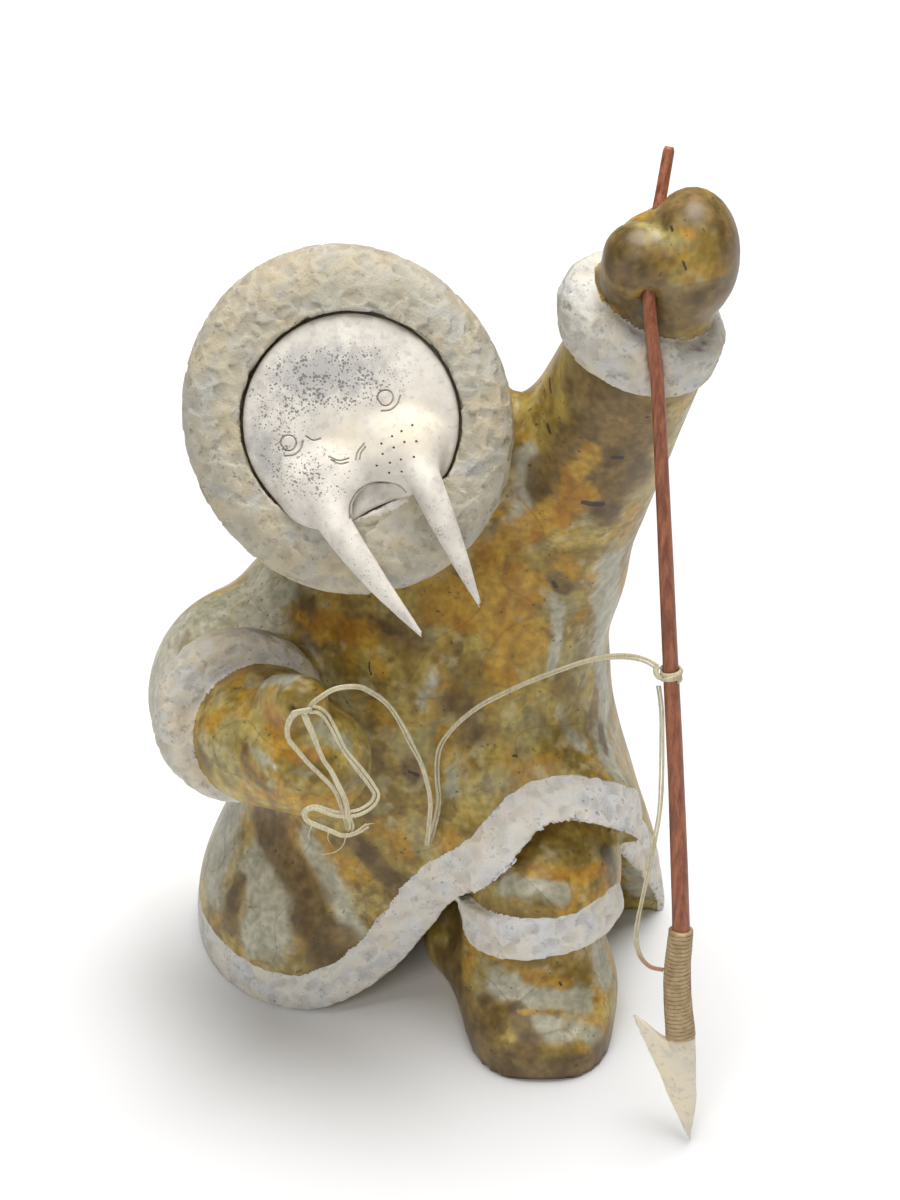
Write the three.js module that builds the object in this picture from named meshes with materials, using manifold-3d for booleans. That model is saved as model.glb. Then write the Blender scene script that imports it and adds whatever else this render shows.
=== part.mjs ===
// Soapstone hunter: a kneeling figure in parka and hood, carved from one block, with an inlaid
// walrus face, a harpoon that passes through the raised mitt, and a sinew line held in the other.
//
// Millimetres, +Z up, the figure faces -Y. Shapes are first placed about the middle of the base and
// then shifted, so that the origin is at the bottom centre of the whole piece without its line.
import * as THREE from 'three'
import { ConvexGeometry } from 'three/addons/geometries/ConvexGeometry.js'
import { mergeVertices } from 'three/addons/utils/BufferGeometryUtils.js'
import Module from 'manifold-3d'

const wasm = await Module()
wasm.setup()

// ---------------------------------------------------------------- driving dimensions
const BASE_CENTRE = [-7, -32.7]
const GAP = 0.3

// Outline of the parka's bell, by height above the base: right, left, front and back extents.
const BELL_HEIGHTS = [0, 25, 50, 85, 115, 140, 160, 176]
const BELL_RIGHT = [73, 69, 62, 53.5, 50.5, 46, 37, 20]
const BELL_LEFT = [-82, -78, -70, -62, -58, -52, -40, -22]
const BELL_FRONT = [-52, -56, -58, -57, -50, -42, -32, -16]
const BELL_BACK = [50, 53, 54, 51, 44, 35, 25, 10]
const BELL_TOP = 172
const BELL_FOOT = -30
const BELL_TOP_EDGE = 20

// Rounded forms that blend into the bell: the kneeling knee, the coat over the raised knee, the
// sleeves and the back of the hood, with the radii over which each one melts into the rest.
const KNEELING_KNEE = { centre: [-44, -20, 10], radii: [37, 39.5, 44] }
const OVER_RAISED_KNEE = { centre: [28.5, -43, 66], radii: [33, 35, 31] }
const RAISED_SLEEVE = { from: [28, -8, 150], to: [55, -40, 240], radii: [27, 20.5] }
const UPPER_SLEEVE = { from: [-46, -2, 116], to: [-69, -18, 98], radii: [25, 25] }
const FORE_SLEEVE = { from: [-69, -18, 98], to: [-65, -44, 112], radii: [25, 23] }
const HOOD = { setback: 30, radii: [46, 50, 40] }
const MELT = { kneeling: 16, raisedKnee: 12, raisedSleeve: 20, elbow: 10, shoulder: 14 }

// The hem arches up over the raised knee: height of its lower edge by angle from +X towards -Y.
const HEM_AXIS_X = -5
const HEM_ANGLES = [-20, 3, 9, 22, 37, 50, 60, 68, 75, 82, 92, 105, 125, 150]
const HEM_HEIGHTS = [0, 0, 12, 37, 64, 81, 86, 81, 68, 51, 32, 14, 0, 0]
const SKIRT_BACK_WALL_Y = -8
const SKIRT_WALL_KINK_X = 14
const SKIRT_WALL_SLOPE = 0.55

// Face of the hood: centre of its front plane, tilt upwards and roll to the figure's right.
const FACE_CENTRE = new THREE.Vector3(-28.9, -50, 221.4)
const FACE_TILT = THREE.MathUtils.degToRad(30)
const FACE_ROLL = THREE.MathUtils.degToRad(24)
const RUFF_HALF = { across: 48.3, along: 52.4, depth: 13 }
const RUFF_EDGE = 11
const RUFF_CENTRE = [-0.8, 0.8, -10]
const RECESS = { across: 32.6, along: 32.4, depth: 6 }

const CUFF_RIGHT = { centre: [55.5, -42, 248.5], axis: [0.28, -0.1, 0.95], radius: 24.4, half: 9, edge: 6 }
const CUFF_LEFT = { centre: [-65, -49, 114], axis: [0.22, -0.84, 0.46], radius: 27.3, half: 8.5, edge: 6 }

// Raised leg and its boot.
const KNEE = { centre: [30, -47, 54], radii: [25, 32, 26] }
const HIP = { centre: [17, -14, 56], radii: [30, 30, 28] }
const SHIN = { from: [26, -46, 46], to: [28, -58, 18], radii: [22.5, 22] }
const FOOT = { centre: [29, -62, 2], half: [23.5, 30, 17], edge: 11, power: 2.6 }
const HEEL = { from: [10, -34, 14], to: [26, -50, 14], radii: [19, 22] }
const LEG_MELT = { thigh: 10, ankle: 14, heel: 10, bootTop: 2.5 }
const SHIN_BAND = { centre: [28.8, -55, 45], axis: [-0.2, 0.185, 1], radius: 26.3, half: 8, edge: 2.5 }

// Mitts. A bore lets the line into the lowered one.
const RAISED_PALM = { from: [56, -42, 252], to: [63, -49, 270], radii: [19, 17] }
const RAISED_FINGERS = { centre: [68.5, -49, 278], radii: [13.5, 17, 18.5] }
const RAISED_THUMB = { centre: [52.3, -56, 281.5], radii: [9.8, 10, 11.5] }
const LOWERED_PALM = { from: [-57.5, -62, 121.5], to: [-41, -78, 119.5], radii: [18.8, 17.5] }
const LOWERED_THUMB = { from: [-56, -70, 136], to: [-40, -80, 142], radii: [9, 8] }
const MITT_MELT = { fingers: 6, thumb: 4 }
const LINE_BORE = { mouth: [-42.2, -90.5, 146.5], end: [-46.5, -76, 138.5], radius: 2.6 }

// Walrus face, in the face's own plane: u across, v up, w out; its middle line is a little off centre.
const PLATE_RADIUS = 31.7
const PLATE_CHIN_V = -25.4
const PLATE_RIM_W = 1
const PLATE_CROWN_W = 5
const FACE_MIDDLE_U = -2.6
const PADS = { u: 10.5, v: -12.5, w: 2.5, across: 12.5, along: 11.5, depth: 6 }
const TUSK_BASE = { left: [-16, -20, 7.6], right: [11.4, -20, 7.6] }
const TUSK_MIDDLE = { left: [-12, -44, 10.4], right: [12.6, -44, 10.4] }
const TUSK_TIP = { left: [-6, -65.5, 8.5], right: [12.8, -64.1, 8.5] }
const TUSK_BASE_RADIUS = 5.2
const TUSK_TIP_RADIUS = 0.5

// Harpoon.
const SHAFT_PATH = [
  [62, -33, 302.5], [60.2, -38, 293], [58, -46, 284], [55.9, -58, 276], [56.4, -63.8, 264.5],
  [58.7, -67.7, 246.6], [61.3, -75.2, 210.8], [64.4, -84.9, 164.6], [67.3, -93.6, 123.1],
  [70.1, -104, 73.6], [71, -108.5, 52.5],
]
const SHAFT_RADIUS_TOP = 1.7
const SHAFT_RADIUS_FOOT = 2.8
const HEAD_POINT = new THREE.Vector3(74.8, -119.4, 0.2)
const HEAD_AXIS = new THREE.Vector3(-0.0918, 0.205, 0.974).normalize()

// The head, flat from side to side, in its own axes: barb side, half thickness, height above the point.
const BLADE_CORNERS = [
  [0, 0, 0], [-3.2, 0.5, 15.3], [-4.3, 1.2, 38], [5.4, 1.2, 38], [6.2, 0.5, 20], [0.8, 3.3, 37],
  [0.4, 1.5, 12],
]
const BARB_CORNERS = [
  [15.8, 0, 49.8], [4.8, 1.2, 37.5], [0.4, 0.4, 3], [3.4, 2.6, 35], [7.8, 0.5, 25],
]
const HEAD_NECK = { side: 0.4, from: 30, to: 49, radius: 3 }
const LASHING = { foot: 38.5, middle: 57.8, shaftShare: 0.918, radii: [4.8, 3.9] }
const KNOT = { z: 157.5, wall: 1.4, half: 2, edge: 0.9 }
const KNOT_LUMP = { offset: [-2.6, -2.4, 0], radii: [2.3, 2.1, 1.9] }

// Sinew line: a flat strip, its width taken as the diameter of its solid.
const LINE_DIAMETER = 2.2
const LINE_STEP = 6.2
const LINE_HAND_TO_SHAFT = [
  [-42, -89.5, 145.5], [-40, -91, 150], [-37.5, -91.5, 152.5], [-34.5, -90.5, 154], [-31, -89, 154],
  [-26.5, -87, 152.5], [-22, -84, 147.5], [-18, -81, 141], [-15, -78, 133], [-12, -75, 123],
  [-9, -72.5, 113.5], [-7, -70.5, 104], [-6, -69.5, 95.5], [-6.5, -69, 87.5], [-7, -68, 80.5],
  [-7, -65, 75.5], [-6, -61.5, 75.5], [-5, -60.3, 79], [-4, -59.8, 84], [-3.5, -59, 89],
  [-4, -57.5, 95], [-4, -56.5, 101.5], [-3, -56, 107], [0, -55, 112], [4.5, -55, 117.5],
  [10.5, -56.5, 124], [17, -59, 130], [24, -63, 137], [32, -68, 144.5], [39.5, -73, 151.5],
  [46, -77.5, 156.5], [52.5, -82, 160], [57.5, -85.5, 161], [60.8, -87.5, 160],
]
const LINE_SHAFT_TO_HEAD = [
  [61.2, -88.3, 154], [62.2, -90, 147], [62.6, -92, 137], [62.8, -94.5, 127.5], [62.4, -97, 113.5],
  [60.5, -99.5, 100], [58.5, -102, 87.5], [57, -104, 78.5], [56.5, -105.5, 71], [58, -106.5, 65],
  [61, -107, 61.5], [65, -107.3, 60.5],
]
const HANK_TOP = new THREE.Vector3(-41, -91.5, 143)
const HANK_DOWN = new THREE.Vector3(0, -0.308, -0.951)
const HANK_THICKNESS = 3.6
const HANK_OUTLINE = [[1, -1], [-7, 3], [-6, 9], [3, 19], [-4, 27], [3, 35], [17, 34], [20, 24], [9, 3]]
const HANK_OUTLINE_STEPS = 22

// Cell sizes of the rounded forms.
const BODY_CELL = 9.4
const LEG_CELL = 8.5
const MITT_CELL = 6.5

// ---------------------------------------------------------------- small helpers
const vector = (v) => (v.isVector3 ? v.clone() : new THREE.Vector3(...v))

// Right-handed axes whose third is the given direction and whose first leans towards +X.
function axesAbout(direction, towards = [1, 0, 0]) {
  const w = vector(direction).normalize()
  const u = vector(towards)
  u.addScaledVector(w, -u.dot(w)).normalize()
  return [u, new THREE.Vector3().crossVectors(w, u), w]
}

function faceAxes() {
  const out = new THREE.Vector3(0, -Math.cos(FACE_TILT), Math.sin(FACE_TILT))
  const level = new THREE.Vector3(1, 0, 0)
  const rise = new THREE.Vector3().crossVectors(out, level)
  const across = level.clone().multiplyScalar(Math.cos(FACE_ROLL))
  across.addScaledVector(rise, Math.sin(FACE_ROLL))
  return [across, new THREE.Vector3().crossVectors(out, across), out]
}

const WORLD = [new THREE.Vector3(1, 0, 0), new THREE.Vector3(0, 1, 0), new THREE.Vector3(0, 0, 1)]
const FACE = faceAxes()

const placement = (axes, centre) => new THREE.Matrix4().makeBasis(...axes).setPosition(vector(centre))

// Smooth curve through (xs, ys), level beyond its ends.
function through(xs, ys, x) {
  const last = xs.length - 1
  const at = Math.min(Math.max(x, xs[0]), xs[last])
  let i = 0
  while (i < last - 1 && xs[i + 1] < at) i += 1
  const slope = (k) => {
    const a = Math.max(k - 1, 0)
    const b = Math.min(k + 1, last)
    return (ys[b] - ys[a]) / (xs[b] - xs[a])
  }
  const h = xs[i + 1] - xs[i]
  const t = (at - xs[i]) / h
  const start = (1 + 2 * t) * (1 - t) ** 2 * ys[i] + t * (1 - t) ** 2 * h * slope(i)
  return start + t * t * (3 - 2 * t) * ys[i + 1] + t * t * (t - 1) * h * slope(i + 1)
}

// ---------------------------------------------------------------- distance fields of the round forms
// Each field takes a point and returns about how far it lies outside the form.
function blendTwo(a, b, k) {
  const h = Math.max(k - Math.abs(a - b), 0) / k
  return Math.min(a, b) - (h * h * k) / 4
}

const blend = (k, ...fields) => (p) => fields.map((f) => f(p)).reduce((a, b) => blendTwo(a, b, k))

function ellipsoid({ centre, radii }, axes = WORLD) {
  const c = vector(centre)
  return (p) => {
    const q = p.clone().sub(c)
    let inner = 0
    let outer = 0
    axes.forEach((axis, i) => {
      const s = q.dot(axis) / radii[i]
      inner += s * s
      outer += (s / radii[i]) ** 2
    })
    const k = Math.sqrt(inner)
    return (k * (k - 1)) / Math.max(Math.sqrt(outer), 1e-9)
  }
}

// A limb: the hull of two balls.
function limb({ from, to, radii }) {
  const [radiusFrom, radiusTo] = radii
  const a = vector(from)
  const axis = vector(to).sub(a)
  const length = axis.length()
  axis.divideScalar(length)
  const sine = (radiusFrom - radiusTo) / length
  const cosine = Math.sqrt(1 - sine * sine)
  return (p) => {
    const q = p.clone().sub(a)
    const y = q.dot(axis)
    const x = Math.sqrt(Math.max(q.lengthSq() - y * y, 0))
    const along = y * cosine - x * sine
    if (along < 0) return Math.hypot(x, y) - radiusFrom
    if (along > length * cosine) return Math.hypot(x, y - length) - radiusTo
    return x * cosine + y * sine - radiusFrom
  }
}

// An upright block with a superelliptic plan and a rounded upper edge.
function block({ centre, half, edge, power }) {
  const [halfX, halfY, halfZ] = half
  const c = vector(centre)
  return (p) => {
    const q = p.clone().sub(c)
    const plan = (Math.abs(q.x / halfX) ** power + Math.abs(q.y / halfY) ** power) ** (1 / power)
    const radial = (plan - 1) * Math.min(halfX, halfY) + edge
    const axial = Math.abs(q.z) - halfZ + edge
    return Math.min(Math.max(radial, axial), 0) + Math.hypot(Math.max(radial, 0), Math.max(axial, 0)) - edge
  }
}

function bell(p) {
  const right = through(BELL_HEIGHTS, BELL_RIGHT, p.z)
  const left = through(BELL_HEIGHTS, BELL_LEFT, p.z)
  const front = through(BELL_HEIGHTS, BELL_FRONT, p.z)
  const back = through(BELL_HEIGHTS, BELL_BACK, p.z)
  const halfX = (right - left) / 2
  const halfY = (back - front) / 2
  const plan = Math.hypot((p.x - (right + left) / 2) / halfX, (p.y - (back + front) / 2) / halfY)
  const side = (plan - 1) * Math.min(halfX, halfY)
  const ends = Math.max(p.z - BELL_TOP, BELL_FOOT - p.z)
  return -blendTwo(-side, -ends, BELL_TOP_EDGE)
}

// The parka with its sleeves and the back of the hood.
function coatField() {
  const centre = FACE_CENTRE.clone().addScaledVector(FACE[2], -HOOD.setback)
  const hood = ellipsoid({ centre, radii: HOOD.radii }, FACE)
  const kneeling = blend(MELT.kneeling, bell, ellipsoid(KNEELING_KNEE))
  const skirt = blend(MELT.raisedKnee, kneeling, ellipsoid(OVER_RAISED_KNEE))
  const oneSleeve = blend(MELT.raisedSleeve, skirt, limb(RAISED_SLEEVE))
  return blend(MELT.shoulder, oneSleeve, blend(MELT.elbow, limb(UPPER_SLEEVE), limb(FORE_SLEEVE)), hood)
}

function legField() {
  const thigh = blend(LEG_MELT.thigh, ellipsoid(KNEE), ellipsoid(HIP))
  const boot = blend(LEG_MELT.heel, blend(LEG_MELT.ankle, limb(SHIN), block(FOOT)), limb(HEEL))
  return blend(LEG_MELT.bootTop, thigh, boot)
}

function raisedMittField() {
  const fingers = blend(MITT_MELT.fingers, limb(RAISED_PALM), ellipsoid(RAISED_FINGERS))
  return blend(MITT_MELT.thumb, fingers, ellipsoid(RAISED_THUMB))
}

const loweredMittField = () => blend(MITT_MELT.thumb, limb(LOWERED_PALM), limb(LOWERED_THUMB))

// ---------------------------------------------------------------- meshes
// Moves points onto the field's zero surface, by at most half a cell a step.
function settle(points, field, cell) {
  const nudge = 0.05
  const gradient = new THREE.Vector3()
  points.forEach((p) => {
    for (let round = 0; round < 4; round += 1) {
      'xyz'.split('').forEach((axis) => {
        const ahead = p.clone()
        const behind = p.clone()
        ahead[axis] += nudge
        behind[axis] -= nudge
        gradient[axis] = (field(ahead) - field(behind)) / (2 * nudge)
      })
      const step = gradient.multiplyScalar(-field(p) / Math.max(gradient.lengthSq(), 0.05))
      p.add(step.clampLength(0, cell / 2))
    }
  })
}

// Surface of a field inside a box: one point in each cell that the surface crosses, joined across
// every grid edge that it cuts.
function surfaceOf(field, low, high, cell) {
  const count = low.map((v, i) => Math.ceil((high[i] - v) / cell) + 1)
  const index = (i, j, k) => (i * count[1] + j) * count[2] + k
  const place = (i, j, k) => new THREE.Vector3(low[0] + i * cell, low[1] + j * cell, low[2] + k * cell)
  const value = new Float64Array(count[0] * count[1] * count[2])
  for (let i = 0; i < count[0]; i += 1) {
    for (let j = 0; j < count[1]; j += 1) {
      for (let k = 0; k < count[2]; k += 1) value[index(i, j, k)] = field(place(i, j, k))
    }
  }
  const corners = [0, 1, 2, 3, 4, 5, 6, 7].map((c) => [c & 1, (c >> 1) & 1, (c >> 2) & 1])
  const points = []
  const pointOf = new Map()
  for (let i = 0; i < count[0] - 1; i += 1) {
    for (let j = 0; j < count[1] - 1; j += 1) {
      for (let k = 0; k < count[2] - 1; k += 1) {
        const crossings = []
        corners.forEach((c) => {
          const here = [i + c[0], j + c[1], k + c[2]]
          const v = value[index(...here)]
          c.forEach((bit, axis) => {
            if (bit) return
            const there = [...here]
            there[axis] += 1
            const w = value[index(...there)]
            if (v < 0 !== w < 0) crossings.push(place(...here).lerp(place(...there), v / (v - w)))
          })
        })
        if (crossings.length) {
          const mean = new THREE.Vector3()
          crossings.forEach((q) => mean.add(q))
          pointOf.set(index(i, j, k), points.length)
          points.push(mean.divideScalar(crossings.length))
        }
      }
    }
  }
  settle(points, field, cell)
  const triangles = []
  for (let i = 1; i < count[0] - 1; i += 1) {
    for (let j = 1; j < count[1] - 1; j += 1) {
      for (let k = 1; k < count[2] - 1; k += 1) {
        for (let axis = 0; axis < 3; axis += 1) {
          const inside = value[index(i, j, k)] < 0
          const next = [i, j, k]
          next[axis] += 1
          if (inside === value[index(...next)] < 0) continue
          const b = (axis + 1) % 3
          const c = (axis + 2) % 3
          const ring = [[1, 1], [0, 1], [0, 0], [1, 0]].map(([stepB, stepC]) => {
            const cellAt = [i, j, k]
            cellAt[b] -= stepB
            cellAt[c] -= stepC
            return pointOf.get(index(...cellAt))
          })
          if (!inside) ring.reverse()
          const diagonal = (m, n) => points[ring[m]].distanceToSquared(points[ring[n]])
          const turn = diagonal(0, 2) <= diagonal(1, 3) ? 0 : 1
          const [r0, r1, r2, r3] = [0, 1, 2, 3].map((m) => ring[(m + turn) % 4])
          triangles.push(r0, r1, r2, r0, r2, r3)
        }
      }
    }
  }
  const geometry = new THREE.BufferGeometry().setFromPoints(points)
  return geometry.setIndex(triangles)
}

// A round form turned about +Z: a disc or ring whose profile is a list of [radius, height].
function turned(profile, sides) {
  const points = profile.map(([radius, height]) => new THREE.Vector2(radius, height))
  return new THREE.LatheGeometry(points, sides).rotateX(Math.PI / 2)
}

// Profile of a disc with rounded rims, from the axis below to the axis above.
function discProfile(radius, half, edge, steps) {
  const arc = (centreHeight, from) =>
    Array.from({ length: steps + 1 }, (_, i) => {
      const angle = from + ((i / steps) * Math.PI) / 2
      return [radius - edge + edge * Math.cos(angle), centreHeight + edge * Math.sin(angle)]
    })
  return [[0, -half], ...arc(edge - half, -Math.PI / 2), ...arc(half - edge, 0), [0, half]]
}

function disc({ centre, axis, radius, half, edge }, sides) {
  return turned(discProfile(radius, half, edge, 2), sides).applyMatrix4(placement(axesAbout(axis), centre))
}

// A round bar along a curve, its radius given as a function of the way along it, from 0 to 1.
function bar(curve, radiusAt, sides, rings) {
  const geometry = new THREE.CylinderGeometry(1, 1, 1, sides, rings)
  const frames = curve.computeFrenetFrames(rings, false)
  const position = geometry.attributes.position
  for (let i = 0; i < position.count; i += 1) {
    const t = position.getY(i) + 0.5
    const ring = Math.round(t * rings)
    const p = curve.getPointAt(t)
    p.addScaledVector(frames.normals[ring], position.getX(i) * radiusAt(t))
    p.addScaledVector(frames.binormals[ring], -position.getZ(i) * radiusAt(t))
    position.setXYZ(i, p.x, p.y, p.z)
  }
  return geometry
}

const between = (a, b) => (t) => a + (b - a) * t

// ---------------------------------------------------------------- solids
function solid(geometry) {
  const bare = geometry.clone()
  bare.deleteAttribute('normal')
  bare.deleteAttribute('uv')
  const merged = mergeVertices(bare, 1e-4)
  const index = merged.index.array
  const kept = []
  for (let i = 0; i < index.length; i += 3) {
    const [a, b, c] = [index[i], index[i + 1], index[i + 2]]
    if (a !== b && b !== c && c !== a) kept.push(a, b, c)
  }
  return new wasm.Manifold(new wasm.Mesh({
    numProp: 3,
    vertProperties: new Float32Array(merged.attributes.position.array),
    triVerts: new Uint32Array(kept),
  }))
}

function geometryOf(manifold) {
  const mesh = manifold.getMesh()
  const geometry = new THREE.BufferGeometry()
  geometry.setAttribute('position', new THREE.BufferAttribute(new Float32Array(mesh.vertProperties), 3))
  geometry.setIndex(new THREE.BufferAttribute(new Uint32Array(mesh.triVerts), 1))
  geometry.computeVertexNormals()
  return geometry
}

const join = (...parts) => parts.reduce((a, b) => a.add(b))

// The space under the raised hem: a fan of slices about the hem's axis, from the skirt's back wall
// outwards, each as high as the hem is there.
function underHem() {
  const slices = 24
  const rings = 5
  const first = 3.5
  const last = 122
  const floor = -40
  const reach = 115
  const kinkReach = SKIRT_WALL_KINK_X - HEM_AXIS_X
  const slantedWall = -SKIRT_BACK_WALL_Y + SKIRT_WALL_SLOPE * kinkReach
  const points = []
  for (let i = 0; i <= slices; i += 1) {
    const degrees = first + ((last - first) * i) / slices
    const angle = THREE.MathUtils.degToRad(degrees)
    const [sine, cosine] = [Math.sin(angle), Math.cos(angle)]
    const straight = -SKIRT_BACK_WALL_Y / sine
    const slanted = slantedWall / (sine + SKIRT_WALL_SLOPE * cosine)
    const wall = Math.min(straight * cosine > kinkReach ? straight : slanted, reach - 1)
    const height = through(HEM_ANGLES, HEM_HEIGHTS, degrees)
    const at = (radius, z) => new THREE.Vector3(HEM_AXIS_X + radius * cosine, -radius * sine, z)
    points.push(at(wall, floor), at(reach, floor))
    for (let j = 0; j <= rings; j += 1) points.push(at(reach + ((wall - reach) * j) / rings, height))
  }
  const around = rings + 3
  const triangles = []
  for (let i = 0; i < slices; i += 1) {
    for (let side = 0; side < around; side += 1) {
      const a = i * around + side
      const b = i * around + ((side + 1) % around)
      triangles.push(a, b + around, a + around, a, b, b + around)
    }
  }
  const end = slices * around
  for (let side = 1; side < around - 1; side += 1) {
    triangles.push(0, side + 1, side, end, end + side, end + side + 1)
  }
  return new THREE.BufferGeometry().setFromPoints(points).setIndex(triangles)
}

const shaftCurve = new THREE.CatmullRomCurve3(SHAFT_PATH.map(vector), false, 'centripetal')
const shaftRadius = between(SHAFT_RADIUS_TOP, SHAFT_RADIUS_FOOT)
const shaftWithClearance = () => bar(shaftCurve, (t) => shaftRadius(t) + GAP, 10, 22)

function figureSolid() {
  const coat = solid(surfaceOf(coatField(), [-112, -100, -46], [100, 76, 292], BODY_CELL))
  const leg = solid(surfaceOf(legField(), [-30, -106, -26], [72, 34, 110], LEG_CELL))
  const raisedMitt = solid(surfaceOf(raisedMittField(), [28, -78, 226], [92, -16, 306], MITT_CELL))
  const loweredMitt = solid(surfaceOf(loweredMittField(), [-88, -106, 94], [-14, -36, 160], MITT_CELL))
  const ruffCentre = vector(RUFF_CENTRE).applyMatrix4(placement(FACE, FACE_CENTRE))
  const ruff = turned(discProfile(RUFF_HALF.across, RUFF_HALF.depth, RUFF_EDGE, 3), 32)
  ruff.scale(1, RUFF_HALF.along / RUFF_HALF.across, 1).applyMatrix4(placement(FACE, ruffCentre))
  const recess = turned([[0, -RECESS.depth], [1, -RECESS.depth], [1, 12], [0, 12]], 32)
  recess.scale(RECESS.across, RECESS.along, 1).applyMatrix4(placement(FACE, FACE_CENTRE))
  const ground = new THREE.BoxGeometry(400, 400, 80).translate(0, 0, -40)
  const lineBore = new THREE.LineCurve3(vector(LINE_BORE.mouth), vector(LINE_BORE.end))
  return join(
    coat.subtract(solid(underHem())),
    leg,
    solid(disc(SHIN_BAND, 24)),
    solid(disc(CUFF_RIGHT, 22)),
    solid(disc(CUFF_LEFT, 24)),
    solid(ruff),
    raisedMitt,
    loweredMitt,
  )
    .subtract(solid(recess))
    .subtract(solid(ground))
    .subtract(solid(shaftWithClearance()))
    .subtract(solid(bar(lineBore, () => LINE_BORE.radius, 10, 1)))
}

function walrusFaceSolid() {
  const rise = 4
  const dome = Array.from({ length: rise + 1 }, (_, i) => {
    const radius = PLATE_RADIUS * Math.cos(((i / rise) * Math.PI) / 2)
    return [radius, PLATE_RIM_W + (PLATE_CROWN_W - PLATE_RIM_W) * (1 - (radius / PLATE_RADIUS) ** 2)]
  })
  dome[rise][0] = 0
  const plate = turned([[0, GAP - RECESS.depth], [PLATE_RADIUS, GAP - RECESS.depth], ...dome], 28)
  const belowChin = new THREE.BoxGeometry(100, 40, 40).translate(0, PLATE_CHIN_V - 20, 0)
  const pads = [-1, 1].map((side) => {
    const pad = new THREE.SphereGeometry(1, 10, 7).scale(PADS.across, PADS.along, PADS.depth)
    return solid(pad.translate(FACE_MIDDLE_U + side * PADS.u, PADS.v, PADS.w))
  })
  const tusks = ['left', 'right'].map((side) => {
    const curve = new THREE.CatmullRomCurve3([TUSK_BASE, TUSK_MIDDLE, TUSK_TIP].map((p) => vector(p[side])))
    const radiusAt = (t) => TUSK_TIP_RADIUS + (TUSK_BASE_RADIUS - TUSK_TIP_RADIUS) * (1 - t ** 1.5)
    return solid(bar(curve, radiusAt, 9, 7))
  })
  const behindPlate = new THREE.BoxGeometry(100, 100, 40).translate(0, 0, GAP - RECESS.depth - 20)
  const face = join(solid(plate), ...pads).subtract(solid(belowChin)).subtract(solid(behindPlate))
  return solid(geometryOf(join(face, ...tusks)).applyMatrix4(placement(FACE, FACE_CENTRE)))
}

// ---------------------------------------------------------------- harpoon
const headAxes = () => {
  const barbSide = vector([-1, 0, 0])
  barbSide.addScaledVector(HEAD_AXIS, -barbSide.dot(HEAD_AXIS)).normalize()
  return [barbSide, new THREE.Vector3().crossVectors(HEAD_AXIS, barbSide), HEAD_AXIS]
}
const HEAD_FRAME = placement(headAxes(), HEAD_POINT)
const onHead = (side, depth, along) => new THREE.Vector3(side, depth, along).applyMatrix4(HEAD_FRAME)

function headNeck(clearance) {
  const foot = onHead(HEAD_NECK.side, 0, HEAD_NECK.from)
  const neck = new THREE.LineCurve3(foot, onHead(HEAD_NECK.side, 0, HEAD_NECK.to + clearance))
  return bar(neck, () => HEAD_NECK.radius + clearance, 12, 1)
}

function harpoonHeadSolid() {
  const bothFaces = (corners) => corners.flatMap(([side, depth, along]) =>
    depth ? [onHead(side, depth, along), onHead(side, -depth, along)] : [onHead(side, 0, along)])
  const blade = new ConvexGeometry(bothFaces(BLADE_CORNERS))
  const barb = new ConvexGeometry(bothFaces(BARB_CORNERS))
  return join(solid(blade), solid(barb), solid(headNeck(0)))
}

// The lashing hides the joint of the head's neck and the shaft's foot.
function lashingSolid() {
  const foot = onHead(HEAD_NECK.side, 0, LASHING.foot)
  const middle = onHead(HEAD_NECK.side / 2, 0, LASHING.middle)
  const curve = new THREE.CatmullRomCurve3([foot, middle, shaftCurve.getPointAt(LASHING.shaftShare)])
  return solid(bar(curve, between(...LASHING.radii), 14, 4))
    .subtract(solid(shaftWithClearance()))
    .subtract(solid(headNeck(GAP)))
}

function knotSolid() {
  let t = 0
  while (shaftCurve.getPointAt(t).z > KNOT.z) t += 0.001
  const centre = shaftCurve.getPointAt(t)
  const axis = shaftCurve.getTangentAt(t)
  const radius = shaftRadius(t) + KNOT.wall
  const ring = disc({ centre, axis, radius, half: KNOT.half, edge: KNOT.edge }, 10)
  const lump = new THREE.SphereGeometry(1, 7, 5).scale(...KNOT_LUMP.radii)
  lump.translate(...centre.add(vector(KNOT_LUMP.offset)))
  return join(solid(ring), solid(lump)).subtract(solid(shaftWithClearance()))
}

// ---------------------------------------------------------------- sinew line
function lineTube(points) {
  const curve = new THREE.CatmullRomCurve3(points.map(vector), false, 'centripetal')
  const section = new THREE.Shape()
  for (let i = 0; i < 8; i += 1) {
    const angle = (i / 8) * 2 * Math.PI
    const corner = [Math.cos(angle), Math.sin(angle)].map((v) => (v * LINE_DIAMETER) / 2)
    if (i === 0) section.moveTo(...corner)
    else section.lineTo(...corner)
  }
  const steps = Math.round(curve.getLength() / LINE_STEP)
  return new THREE.ExtrudeGeometry(section, { steps, bevelEnabled: false, extrudePath: curve })
}

function hankSolid() {
  const corners = HANK_OUTLINE.map(([right, down]) => new THREE.Vector3(right, -down, 0))
  const outline = new THREE.CatmullRomCurve3(corners, true, 'centripetal').getPoints(HANK_OUTLINE_STEPS)
  const face = new THREE.Shape(outline.slice(0, -1))
  const slab = new THREE.ExtrudeGeometry(face, { depth: HANK_THICKNESS, bevelEnabled: false })
  slab.translate(0, 0, -HANK_THICKNESS / 2)
  const up = HANK_DOWN.clone().negate()
  const across = new THREE.Vector3(1, 0, 0)
  const axes = [across, up, new THREE.Vector3().crossVectors(across, up)]
  return solid(slab.applyMatrix4(placement(axes, HANK_TOP)))
}

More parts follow.
